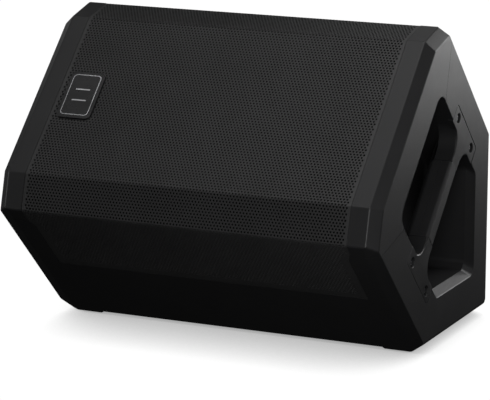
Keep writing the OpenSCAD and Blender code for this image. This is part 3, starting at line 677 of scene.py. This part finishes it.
# -------------------------------- rear shell
PANEL_W, PANEL_H, PANEL_Z = 340.0, 188.0, 134.0
POLE_V, SOCKET_R = 228.0, 40.3
TO_BACK = CAB.inverted() @ BACK
TO_ROW = CAB.inverted() @ SCALE


def back_recess(t, d, lip=0.0):
    """Space of the amplifier panel, t wider than it and d deep, its mouth rounded by lip."""
    q = shift(pad(PANEL_W / 2 + t, PANEL_H / 2 + t, 7 + t, 8), 0, PANEL_Z)
    if not lip:
        return moved(prism_z(q, -d, 20), TO_BACK)
    rings = [up_z(q, -d), up_z(q, -lip)]
    for a in (30, 60, 90):
        a = math.radians(a)
        rings.append(up_z(grow(q, lip * (1 - math.cos(a))), -lip * (1 - math.sin(a))))
    rings.append(up_z(grow(q, lip), 20))
    return moved(loft(*rings), TO_BACK)


def rear_shell():
    ob = cut(common(cabinet(rounded=True), rear_zone()), cabinet(WALL, 4))
    walls = common(cabinet(1), rear_zone(), pocket_wall(WALL))
    boss = common(cabinet(1), both(plate_seat(4, 16)))
    pole = common(cabinet(1), moved(bore_x(48, 0, 10, 64), at(-HALF, 0, -POLE_V)))
    frame_box = common(cabinet(1, 1), back_recess(4, PANEL + 8))
    add(ob, walls, boss, pole, frame_box)
    cut(ob, grille_slot(), pocket_space(), both(plate_seat(0.3, 7.8)))
    cut(ob, copies(bore_x(2.1, HALF - 20, HALF, 16), *screw_spots(v=-HANDLE_V)))
    steps = ((41.1, -1), (41.1, 0), (SOCKET_R, 0.8), (SOCKET_R, 4.3), (22.4, 4.3), (22.4, 29))
    cut(ob, moved(loft(*[up_x(circle(r, 64), -HALF + x) for r, x in steps]), at(0, 0, -POLE_V)))
    end_feet = [at(0, u, -v) for u, v in ((140, 112), (-140, 112), (56, 346), (-56, 346))]
    cut(ob, copies(bore_x(12.2, -HALF - 1, -HALF + 2, 32), *end_feet))
    # Shallow relief between the two floor rails, with sloping ends
    relief = [(-220, 0), (-217, 4), (217, 4), (220, 0), (220, -8), (-220, -8)]
    cut(ob, moved(prism_y(relief, CAB_Y - 30, BACK_Y + 30), at(CAB_X, 0, FEET), TO_ROW))
    cut(ob, back_recess(0.4, PANEL + 3.3, 1.0))
    cut(ob, moved(prism_z(shift(pad(PANEL_W / 2 - 12, PANEL_H / 2 - 12, 4), 0, PANEL_Z), -60, 0), TO_BACK))
    floor_feet = [at(CAB_X + x, y) for x in (-238, 238) for y in (CAB_Y + 112, BACK_Y - 38)]
    return cut(ob, moved(copies(rod(13.2, 0, 4.5, 40), *floor_feet), TO_ROW))


piece(front_shell(), "front_moulding", CAB, "shell_plastic", "front_shell")
piece(rear_shell(), "rear_moulding", CAB, "shell_plastic", "rear_shell")

# -------------------------------- grille: one perforated sheet, made as strips
PITCH, HOLE_R, SHEET, HOLE_SIDES, GAP = 4.73, 1.6, 1.2, 12, 0.4
# Height of a row of cells, and half the side of a cell
ROW_H, Q = PITCH * math.sqrt(3) / 2, PITCH / (2 * math.sqrt(3))


def bent_path():
    """Outer face of the sheet as short straight and curved runs: (length so far, point, outward normal)."""
    g, bend = GAP, 4.2
    low = -GRILLE_WRAP + g
    corners = [(-CHEEK + g, low, 0), (-CHEEK + g, -25.98 - 0.577 * g, bend), (-FACE + 0.268 * g, -g, bend),
               (FACE - 0.268 * g, -g, bend), (CHEEK - g, -25.98 - 0.577 * g, bend), (CHEEK - g, low, 0)]
    pts = []
    for i, (u, w, r) in enumerate(corners):
        if r:
            pts += arc((u, w), corners[i - 1][:2], corners[i + 1][:2], r, 5)
        else:
            pts.append((u, w))
    run, out = 0.0, []
    for i, p in enumerate(pts):
        if i:
            run += math.dist(p, pts[i - 1])
        a, b = Vector(pts[max(i - 1, 0)]), Vector(pts[min(i + 1, len(pts) - 1)])
        t = (b - a).normalized()
        out.append((run, Vector(p), Vector((-t.y, t.x))))
    return out


PATH = bent_path()
LENGTH = PATH[-1][0]


def on_sheet(x, s, depth):
    """Point of the sheet from the place across, the distance along the path and the depth below its face."""
    p, n = PATH[-1][1:]
    for (s0, p0, n0), (s1, p1, n1) in zip(PATH, PATH[1:]):
        if s <= s1 + 1e-9:
            f = (s - s0) / (s1 - s0) if s1 > s0 else 0
            p, n = p0.lerp(p1, f), n0.lerp(n1, f).normalized()
            break
    q = p - n * depth
    return (x, q.x, q.y)


def half_width(s):
    """Half width of the sheet at that distance along, narrower down the two long walls."""
    w = on_sheet(0, s, 0)[2]
    return GRILLE_HALF - GAP - STEP * min(1.0, max(0.0, (STEP_TOP - w) / (STEP_TOP - STEP_LOW)))


def grille():
    """The sheet as four strips of rows, which keeps each under 200,000 triangles."""
    end_margin, face_margin, wall_margin = 8.5, 1.0, 9.0
    rows_half = int((LENGTH / 2 - end_margin) / ROW_H)
    rows = []
    for j in range(-rows_half, rows_half + 1):
        s = LENGTH / 2 + j * ROW_H
        room = half_width(s) - (face_margin if half_width(s) > GRILLE_HALF - 2 else wall_margin)
        offset = 0.5 if j % 2 else 0.0
        n = int((room - PITCH / 2) / PITCH - offset)
        xs = [(i + offset) * PITCH for i in range(-n - (1 if offset else 0), n + 1)]
        rows.append((s, xs))
    cuts = [len(rows) * share // 100 for share in (0, 26, 50, 74, 100)]
    return [grille_strip(rows, a, b) for a, b in zip(cuts, cuts[1:])]


def zigzag(row, side):
    """Lower or upper edge of a row of cells, left to right."""
    s, xs = row
    pts = []
    for x in xs:
        pts += [(x - PITCH / 2, s + side * Q), (x, s + side * 2 * Q)]
    pts.append((xs[-1] + PITCH / 2, s + side * Q))
    return pts


def grille_strip(rows, a, b):
    """One strip of the sheet, rows a to b: hexagonal cells with a round hole each, plain margins, a rim."""
    index, flat = {}, []

    def vert(x, s):
        key = (round(x * 50), round(s * 50))
        if key not in index:
            index[key] = len(flat)
            flat.append((x, s))
        return index[key]

    top, bottom, holes = [], [], []
    reach = PITCH / math.sqrt(3)
    for s, xs in rows[a:b]:
        for x in xs:
            turns = [math.radians(60 * k) for k in range(6)]
            hexa = [vert(x + reach * math.sin(w), s + reach * math.cos(w)) for w in turns]
            start = len(flat)
            for k in range(HOLE_SIDES):
                ang = math.radians(30 * k)
                flat.append((x + HOLE_R * math.sin(ang), s + HOLE_R * math.cos(ang)))
            for k in range(6):
                i0, i1, i2 = start + 2 * k, start + 2 * k + 1, start + (2 * k + 2) % HOLE_SIDES
                o0, o1 = hexa[k], hexa[(k + 1) % 6]
                top += [(o0, i1, i0), (o0, o1, i1), (o1, i2, i1)]
                bottom += [(o0, i2, i0), (o0, o1, i2)]
            holes.append(start)
    # Plain margins: the region between the cells and the edge of the sheet
    s_lo = 0.0 if a == 0 else None
    s_hi = LENGTH if b == len(rows) else None

    def side_edge(pts, sign):
        """Stepped edge of the cells at one side, from the places of the last cell of each row."""
        line = []
        for i, (x, s) in enumerate(pts):
            e = x + sign * PITCH / 2
            line += [(e, s - Q), (e, s + Q)]
            if i + 1 < len(pts):
                nx = pts[i + 1][0] + sign * PITCH / 2
                step = PITCH / 2 * (1 if nx > e else -1)
                k, up = 1, True
                while abs(e + step * k - nx) > PITCH / 4:
                    if (nx - e) * sign < 0:
                        line.append((e + step * k, s + (2 * Q if up else Q)))
                    else:
                        line.append((e + step * k, pts[i + 1][1] - (Q if up else 2 * Q)))
                    up = not up
                    k += 1
        return line

    for end_cell, sign in ((0, -1), (-1, 1)):
        line = side_edge([(xs[end_cell], s) for s, xs in rows[a:b]], sign)
        if b < len(rows):
            line.append((rows[b][1][end_cell] + sign * PITCH / 2, line[-1][1] + Q))
        start, end = line[0][1], line[-1][1]
        levels = {round(s, 4) for _, s in line} | {round(p[0], 4) for p in PATH if start < p[0] < end}
        if s_lo is not None:
            line.insert(0, (line[0][0], s_lo))
            levels.add(s_lo)
        if s_hi is not None:
            line.append((line[-1][0], s_hi))
            levels.add(s_hi)
        loop = line + [(sign * half_width(s), s) for s in sorted(levels, reverse=True)]
        for t in tessellate_polygon([[Vector((x, s, 0)) for x, s in loop]]):
            tri = tuple(vert(*loop[i]) for i in t)
            top.append(tri)
            bottom.append(tri)
    for row, side, s_end in ((rows[a], -1, s_lo), (rows[b - 1], 1, s_hi)):
        if s_end is None:
            continue
        edge = zigzag(row, side)
        for p, q in zip(edge, edge[1:]):
            i, j, k, m = vert(*p), vert(*q), vert(q[0], s_end), vert(p[0], s_end)
            top += [(i, j, k), (i, k, m)]
            bottom += [(i, j, k), (i, k, m)]
    n = len(flat)
    verts = [on_sheet(x, s, 0) for x, s in flat] + [on_sheet(x, s, SHEET) for x, s in flat]

    def facing(tri):
        (x0, s0), (x1, s1), (x2, s2) = (flat[i] for i in tri)
        cross = (x1 - x0) * (s2 - s0) - (x2 - x0) * (s1 - s0)
        return tri if cross > 0 else (tri[0], tri[2], tri[1])

    top = [facing(t) for t in top if len(set(t)) == 3]
    bottom = [facing(t) for t in bottom if len(set(t)) == 3]
    faces = top + [(k + n, j + n, i + n) for i, j, k in bottom]
    # Walls of the holes: twelve sides at the face, six at the back
    for start in holes:
        for k in range(6):
            i0, i1, i2 = start + 2 * k, start + 2 * k + 1, start + (2 * k + 2) % HOLE_SIDES
            faces += [(i0, i0 + n, i1), (i1, i2 + n, i2), (i1, i0 + n, i2 + n)]
    # Rim: every edge that only one face of the front uses, apart from the holes
    edges = dict.fromkeys((t[i], t[(i + 1) % 3]) for t in top for i in range(3))
    in_hole = {i for start in holes for i in range(start, start + HOLE_SIDES)}
    for p, q in edges:
        if (q, p) not in edges and not (p in in_hole and q in in_hole):
            faces += [(q, p, p + n), (q, p + n, q + n)]
    me = bpy.data.meshes.new("t")
    me.from_pydata(verts, [], faces)
    me.update()
    ob = bpy.data.objects.new("t", me)
    SCENE.collection.objects.link(ob)
    return ob


def sheet_piece(ob, name):
    """Places a strip of the grille without the vertices that no face uses."""
    me = ob.data
    me.transform(CAB)
    bm = bmesh.new()
    bm.from_mesh(me)
    bmesh.ops.delete(bm, geom=[v for v in bm.verts if not v.link_faces], context="VERTS")
    bm.to_mesh(me)
    bm.free()
    ob.name = me.name = name
    me.materials.append(M["grille_steel"])
    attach(ob, "cabinet")
    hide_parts("grille")


for i, strip in enumerate(grille()):
    sheet_piece(strip, f"grille_strip_{i + 1}")


# -------------------------------- small builders
def dome_pad(x, y, r, z0, z1, lip, n=6):
    """Rounded rectangle standing from z0 to z1 with its upper edge rounded by lip."""
    rings = [up_z(pad(x, y, r, n), z0)]
    for i in range(4):
        a = math.radians(30 * i)
        d = lip * (1 - math.cos(a))
        rings.append(up_z(pad(x - d, y - d, max(r - d, 0.05), n), z1 - lip + lip * math.sin(a)))
    return loft(*rings)


def dress(name, width):
    """A CAD node whose shape is right keeps it, with its edges softened."""
    ob = NODES[name]
    ob.modifiers.new("weld", "WELD").merge_threshold = 1e-5
    b = ob.modifiers.new("round", "BEVEL")
    b.limit_method, b.angle_limit = "ANGLE", math.radians(32)
    b.width, b.segments, b.miter_outer = width * 0.001, 2, "MITER_ARC"
    n = ob.modifiers.new("normals", "WEIGHTED_NORMAL")
    n.keep_sharp, n.weight = True, 70
    for f in ob.data.polygons:
        f.use_smooth = True


def cap_screw(r, h, shank_r, length, key=0.5, n=28):
    """Domed head standing on z = 0 with a six-sided socket, and its shank below."""
    shank = [(0, -length), (shank_r * 0.8, -length), (shank_r, -length + 0.6), (shank_r, 0.0)]
    head = [(r - 0.3, 0.0), (r, 0.3), (r, h * 0.45), (r * 0.94, h * 0.72), (r * 0.8, h * 0.92),
            (r * 0.6, h), (0, h)]
    return cut(lathe(shank + head, n), prism_z(circle(r * key, 6, turn=math.radians(30)), h * 0.4, h + 1))


# -------------------------------- badge: dark plate, thin bright outline, two bars
BADGE = CAB @ at(-203, 0, 0)


def badge_lines(t, z0, z1):
    """The bright outline and bars, t wider than drawn."""
    ring = dome_pad(21.5 + t, 33.5 + t, 6 + t, z0, z1, 0.15)
    cut(ring, prism_z(pad(20.6 - t, 32.6 - t, 5.1 - t), z0 - 1, z1 + 1))
    bars = [moved(dome_pad(11 + t, 1 + t, 0.7, z0, z1, 0.15), at(0, u)) for u in (-9, 9)]
    return joined(ring, *bars)


piece(cut(dome_pad(27, 39, 9, -0.3, 2.0, 0.8, 8), badge_lines(0.05, 1.25, 4)), "badge_body", BADGE,
      "badge_plastic", "badge_plate")
piece(badge_lines(0, 1.3, 2.15), "badge_outline", BADGE, "badge_metal", "badge_inlay")

# -------------------------------- handle
BAR = CAB @ at(HALF, 0, -HANDLE_V)


def bar_outline():
    """Outline of the bar across the pocket, flared at both ends."""
    h, a = POCKET_HALF - 0.3, BAR_W / 2
    side = arc((-h, a), (-h, 60), (h, a), 29, 10) + arc((h, a), (-h, a), (h, 60), 29, 10)
    return side + [(u, -w) for u, w in reversed(side)]


def bar_side_cut(s):
    """Takes the bar down along one of its two long sides, behind the grip."""
    a = BAR_W / 2
    q = [(-40, a - 6), (-34, a - 6), (-31, a - 3.4), (-28, a - 0.8), (-27, a), (-27, 62), (-40, 62)]
    return prism_y([(x, s * w) for x, w in q], -110, 110)


def handle_plate(s):
    """End plate of the handle, with a softened outer edge."""
    inner, outer, half = POCKET_HALF - 2, 128.7, 52.7
    q = soft([(inner, -half, 0), (outer, -half, 4.7), (outer, half, 4.7), (inner, half, 0)], 4)
    q = [(s * u, w) for u, w in q]
    if s < 0:
        q = q[::-1]
    lip = 0.9
    rings = [up_x(q, -7.5)]
    for i in range(4):
        a = math.radians(30 * i)
        rings.append(up_x(grow(q, -lip * (1 - math.cos(a))), -0.3 - lip + lip * math.sin(a)))
    return loft(*rings)


def recess(r, lip, floor, top):
    """Round hollow for a screw head, with a rounded mouth."""
    rings = [up_x(circle(r, 40), floor)]
    for i in range(4):
        a = math.radians(30 * i)
        rings.append(up_x(circle(r + lip * (1 - math.cos(a)), 40), top - lip + lip * math.sin(a)))
    return loft(*rings, up_x(circle(r + lip, 40), top + 3))


def handle_bar():
    q = bar_outline()
    steps = ((1.8, -34), (0.5, -33.2), (0, -32), (0, -2.3), (0.27, -1.3), (1.0, -0.57), (2.0, -0.3))
    ob = loft(*[up_x(grow(q, -d), x) for d, x in steps])
    cut(ob, bar_side_cut(1), bar_side_cut(-1))
    cut(ob, cut(slab(-50, 5, -62, 62, -40, 40), slab(-31, -3, -70, 70, -9.5, 9.5)))
    add(ob, handle_plate(1), handle_plate(-1))
    cut(ob, copies(bore_x(2.2, -60, 5, 20), *screw_spots()))
    return cut(ob, copies(recess(7.2, 0.5, -5.4, -0.3), *screw_spots()))


def sleeve():
    """Rubber sleeve over the middle of the bar, with a fine parting groove and rolled ends."""
    a = BAR_W / 2 + 0.6
    q = [(-34.4, -8, 3), (-28, -a, 6), (-0.2, -a, 4.6), (-0.2, a, 4.6), (-14.9, a, 0), (-15.2, a - 0.45, 0),
         (-15.8, a - 0.45, 0), (-16.1, a, 0), (-28, a, 6), (-34.4, 8, 3)]
    q = soft(q, 6)
    ends = [(1.1, 61.6), (0.35, 61.35), (0.08, 60.9), (0, 60.3)]
    rings = [up_y(grow(q, -d), -u) for d, u in ends]
    rings += [up_y(q, u) for u in range(-54, 55, 6)]
    rings += [up_y(grow(q, -d), u) for d, u in reversed(ends)]
    return cut(loft(*rings), slab(-31.2, -2.8, -70, 70, -9.7, 9.7))


piece(handle_bar(), "handle_frame", BAR, "handle_plastic", "handle_bar", angle=35)
piece(sleeve(), "handle_sleeve", BAR, "grip_rubber", "handle_grip", angle=35)
piece(copies(moved(cap_screw(4.8, 2.8, 2, 13, 0.42), turned(90, "Y")), *screw_spots(-5.4)), "handle_bolts",
      BAR, "bright_screws", "handle_screws", angle=32)


# -------------------------------- foam behind the grille, wadding in the box
def ripple(a, b):
    """Slow unevenness between -1 and 1."""
    return (math.sin(a * 0.83 + 1.3 * math.sin(b * 0.31)) + math.sin(b * 0.71 + 1.7 * math.sin(a * 0.23))
            + 0.6 * math.sin(a * 1.9 + b * 1.3)) / 2.6


def closed_sheet(bm, front, back):
    """Faces of two grids of vertices, and of the strips that join their edges."""
    nx, ny = len(front) - 1, len(front[0]) - 1
    for i in range(nx):
        for j in range(ny):
            bm.faces.new((front[i][j], front[i + 1][j], front[i + 1][j + 1], front[i][j + 1]))
            bm.faces.new((back[i][j], back[i][j + 1], back[i + 1][j + 1], back[i + 1][j]))
    for i in range(nx):
        bm.faces.new((front[i][0], back[i][0], back[i + 1][0], front[i + 1][0]))
        bm.faces.new((front[i][ny], front[i + 1][ny], back[i + 1][ny], back[i][ny]))
    for j in range(ny):
        bm.faces.new((front[0][j], front[0][j + 1], back[0][j + 1], back[0][j]))
        bm.faces.new((front[nx][j], back[nx][j], back[nx][j + 1], front[nx][j + 1]))
    return temp(bm)


def foam_sheet():
    """Open-cell foam lining, bent with the grille, its faces slightly uneven."""
    bm = bmesh.new()
    nx, ns, half = 90, 60, 236
    s0 = next(s for s, p, _ in PATH if p.y > -BAFFLE - 1 and s > 60) - 0.5
    s1 = LENGTH - s0
    grids = []
    for depth, wave in ((1.9, 0.25), (5.2, 0.35)):
        grid = []
        for i in range(nx + 1):
            x = -half + 2 * half * i / nx
            col = []
            for j in range(ns + 1):
                s = s0 + (s1 - s0) * j / ns
                edge = min(i, nx - i, j, ns - j)
                d = depth + wave * ripple(x / 3, s / 3) + (0.5 if edge == 0 else 0) * (1 if depth < 3 else -1)
                col.append(bm.verts.new(on_sheet(x, s, d)))
            grid.append(col)
        grids.append(grid)
    return closed_sheet(bm, *grids)


foam = piece(foam_sheet(), "foam_lining", CAB, "foam", "grille_foam", angle=60)


def wadding():
    """Loose fibre pad, swollen in the middle and pulled in at its edges."""
    bm = bmesh.new()
    nx, ny = 56, 28
    lo, hi = Vector((-195, CHEEK - 26, -262)), Vector((190, CHEEK - 4.4, -90))
    mid, half = (lo.y + hi.y) / 2, (hi.y - lo.y) / 2
    grids = []
    for side in (0, 1):
        grid = []
        for i in range(nx + 1):
            col = []
            for j in range(ny + 1):
                a, b = i / nx, j / ny
                swell = (max(0.0, 1 - abs(2 * a - 1) ** 5) * max(0.0, 1 - abs(2 * b - 1) ** 5)) ** 0.35
                x = lo.x + (hi.x - lo.x) * a + 1.5 * ripple(b * 40, a * 9) * (1 if 0 < i < nx else 0)
                z = lo.z + (hi.z - lo.z) * b + 1.5 * ripple(a * 60, b * 7) * (1 if 0 < j < ny else 0)
                puff = 0.25 + 0.66 * swell + 0.09 * ripple(i * 1.1, j * 1.4 + side)
                p = (x, mid + (1 if side else -1) * half * puff, z)
                col.append(bm.verts.new([min(max(v, low), high) for v, low, high in zip(p, lo, hi)]))
            grid.append(col)
        grids.append(grid)
    return closed_sheet(bm, *grids)


pad_piece = piece(wadding(), "fibre_wadding", CAB, "wadding_fibre", "wadding", angle=60)

# -------------------------------- back panel
# Softening of the edges of the CAD nodes that keep their shape
EDGES = {
    0.2: "panel_screws", 0.25: "latch_tab pole_screws", 0.4: "mains_inlet power_rocker",
    0.3: "contact_pins filter_button boost_button lift_button level_knob treble_knob bass_knob filter_knob",
    0.35: "heat_sink fuse_drawer switch_frame input_socket link_socket line_socket",
    0.5: "amp_panel pole_socket front_plate back_plate", 0.6: "floor_feet end_feet hf_motor amp_cover horn",
    0.8: "hf_cap woofer_magnet transformer capacitors"}
for width, names in EDGES.items():
    for name in names.split():
        dress(name, width)

KNOBS = {f"{kind} knob": (-128 + 36 * i, 142) for i, kind in enumerate(("level", "treble", "bass", "filter"))}
BUTTONS = ((-20, 172), (12, 172), (12, 142))
for body, (x, z) in KNOBS.items():
    mark = moved(dome_pad(0.5, 2.3, 0.2, 11.85, 12.5, 0.12), at(x, z + 5.1))
    piece(mark, body.replace(" ", "_") + "_pointer", AT_PANEL, "knob_plastic", body=body, finish=POINTER)


def tick(x, z, deg, r0, r1, w):
    """Printed bar from r0 to r1 out of the point (x, z), 2 w wide."""
    return moved(prism_z([(-w, r0), (w, r0), (w, r1), (-w, r1)], 0.02, 0.1), turned(-deg, "Z"), at(x, z))


def frame_line(x0, x1, z0, z1, w=0.6, r=3.0):
    """Printed frame with a line w wide."""
    q = soft([(x0, z0, r), (x1, z0, r), (x1, z1, r), (x0, z1, r)], 5)
    return cut(prism_z(q, 0.02, 0.1), prism_z(grow(q, -w), -1, 1))


marks = []
for x, z in KNOBS.values():
    for i in range(11):
        long = i in (0, 5, 10)
        marks.append(tick(x, z, -150 + 30 * i, 9.8, 12.2 if long else 11.2, 0.28 if long else 0.18))
for corners in ((-150, 34, 122, 183), (-150, 34, 186, 218.5), (-146, -28, 50, 114)):
    marks.append(frame_line(*corners))
for x, z in BUTTONS:
    marks.append(tick(x, z, 0, 6.6, 7.2, 3.2))
piece(joined(*marks), "panel_marks", AT_PANEL, "panel_paint", finish=PRINT)

# -------------------------------- surround
# The inner half of the roll is given to no body; its placing is baked into its mesh.
ROLL_R, ROLL_Z, RUBBER, FLANGE_Z = 121.5, -22.0, 1.0, -22.9


def roll_half(side, flange):
    """Half of the rubber roll with its glued flange: side -1 is towards the cone, 1 towards the basket."""
    crest = [math.radians(90 * i / 14) for i in range(15)]
    over, under = ([(ROLL_R + side * r * math.cos(a), ROLL_Z + r * math.sin(a)) for a in crest]
                   for r in (8.2, 7.2))
    edge = [(ROLL_R + side * 7.4, FLANGE_Z), (flange, FLANGE_Z), (flange, FLANGE_Z + RUBBER)]
    return moved(lathe(edge + over + under[::-1], 96), at(WOOFER_X))


inner = piece(roll_half(-1, 109.0), "surround_inner", CAB, "seal_rubber", "woofer_surround", body=None)
piece(roll_half(1, 138.7), "surround_outer", CAB, "seal_rubber", "woofer_surround")
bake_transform(inner)


# -------------------------------- stage, lights and camera
cam_data = bpy.data.cameras.new("camera")
cam = bpy.data.objects.new("camera", cam_data)
SCENE.collection.objects.link(cam)
SCENE.camera = cam
cam_data.sensor_fit, cam_data.sensor_width, cam_data.lens = "HORIZONTAL", 36.0, 190.2  # millimetres
cam_data.clip_start, cam_data.clip_end = 0.05, 60
fwd, right = Vector((-0.41258, 0.88347, -0.22194)).normalized(), Vector((0.90601, 0.42325, 0.00058))
right = (right - fwd * right.dot(fwd)).normalized()
up = right.cross(fwd)
turn = Matrix((right, up, -fwd)).transposed().to_4x4()
cam.matrix_world = Matrix.Translation((1.4881, -3.1978, 0.9865)) @ turn

SCENE.view_settings.view_transform = "Standard"
SCENE.view_settings.look = "None"

# The camera sees white all round, and the object only a dim even light
world = bpy.data.worlds.new("studio")
SCENE.world = world
node, link = empty_tree(world)
out, mixer, path = node("OutputWorld"), node("MixShader"), node("LightPath")
dim, white = node("Background"), node("Background")
for background, strength in ((dim, 0.012), (white, 1.02)):
    background.inputs[0].default_value, background.inputs[1].default_value = (1, 1, 1, 1), strength
link(path.outputs["Is Camera Ray"], mixer.inputs[0])
link(dim.outputs[0], mixer.inputs[1])
link(white.outputs[0], mixer.inputs[2])
link(mixer.outputs[0], out.inputs[0])

# Pale floor that glows evenly, with a painted contact shadow: its glow is dimmed by occlusion close to the
# object
bm = bmesh.new()
bmesh.ops.create_grid(bm, x_segments=8, y_segments=8, size=14)
me = bpy.data.meshes.new("floor")
bm.to_mesh(me)
bm.free()
floor = bpy.data.objects.new("floor", me)
SCENE.collection.objects.link(floor)
fm = bpy.data.materials.new("floor")
node, link = empty_tree(fm)
out, glow, ao = (node(kind) for kind in ("OutputMaterial", "Emission", "AmbientOcclusion"))
ao.samples = 16
ao.inputs["Distance"].default_value = 0.16
# Painted contact shadow: the floor's glow follows how much the object occludes it
link(map_range(node, link, ao.outputs["AO"], (0.36, 1.02), (0.0, 0.6)), glow.inputs["Strength"])
link(glow.outputs[0], out.inputs[0])
me.materials.append(fm)
floor.visible_diffuse = floor.visible_glossy = floor.visible_shadow = False


def softbox(name, toward, distance, size, watts):
    """A square soft light that faces the middle of the cabinet from the direction given."""
    data = bpy.data.lights.new(name, "AREA")
    data.shape, data.size, data.energy = "SQUARE", size, watts
    ob = bpy.data.objects.new(name, data)
    SCENE.collection.objects.link(ob)
    middle = Vector((0.05, -0.02, 0.3))
    ob.location = middle + Vector(toward).normalized() * distance
    ob.rotation_euler = (middle - ob.location).to_track_quat("-Z", "Y").to_euler()
    ob.visible_camera = False


# Name, direction from the cabinet, distance, size and power
for row in (
    ("overhead", (0, 0, 1), 2.2, 0.8, 9.4),
    ("key", (0.5, -0.65, 0.55), 2.2, 0.9, 5.8),
    ("fill", (0.5, -0.75, 0), 1.0, 0.4, 1.5),
    ("face_sheen", (-0.41, -0.22, 0.88), 2.2, 0.8, 2.1),
    ("side_sheen", (0.41, 0.88, 0.05), 2.2, 0.8, 6.8),
    ("side_sheen_near", (0.41, 0.88, 0.15), 1.5, 0.5, 0.9),
    ("side_top", (0.70, 0.62, 0.45), 1.04, 0.4, 2.2),
    ("front_left", (-0.75, -0.6, 0.3), 2.2, 0.9, 1.5),
    ("rear_top", (-0.1, 0.65, 0.75), 2.2, 1.0, 1.8),
    ("rear_left", (-0.85, 0.5, 0.4), 2.2, 1.0, 1.5),
    ("left_end", (-1, -0.25, 0.1), 2.2, 1.0, 5),
    ("rear", (-0.1, 1, 0.1), 2.2, 1.0, 4),
):
    softbox(*row)
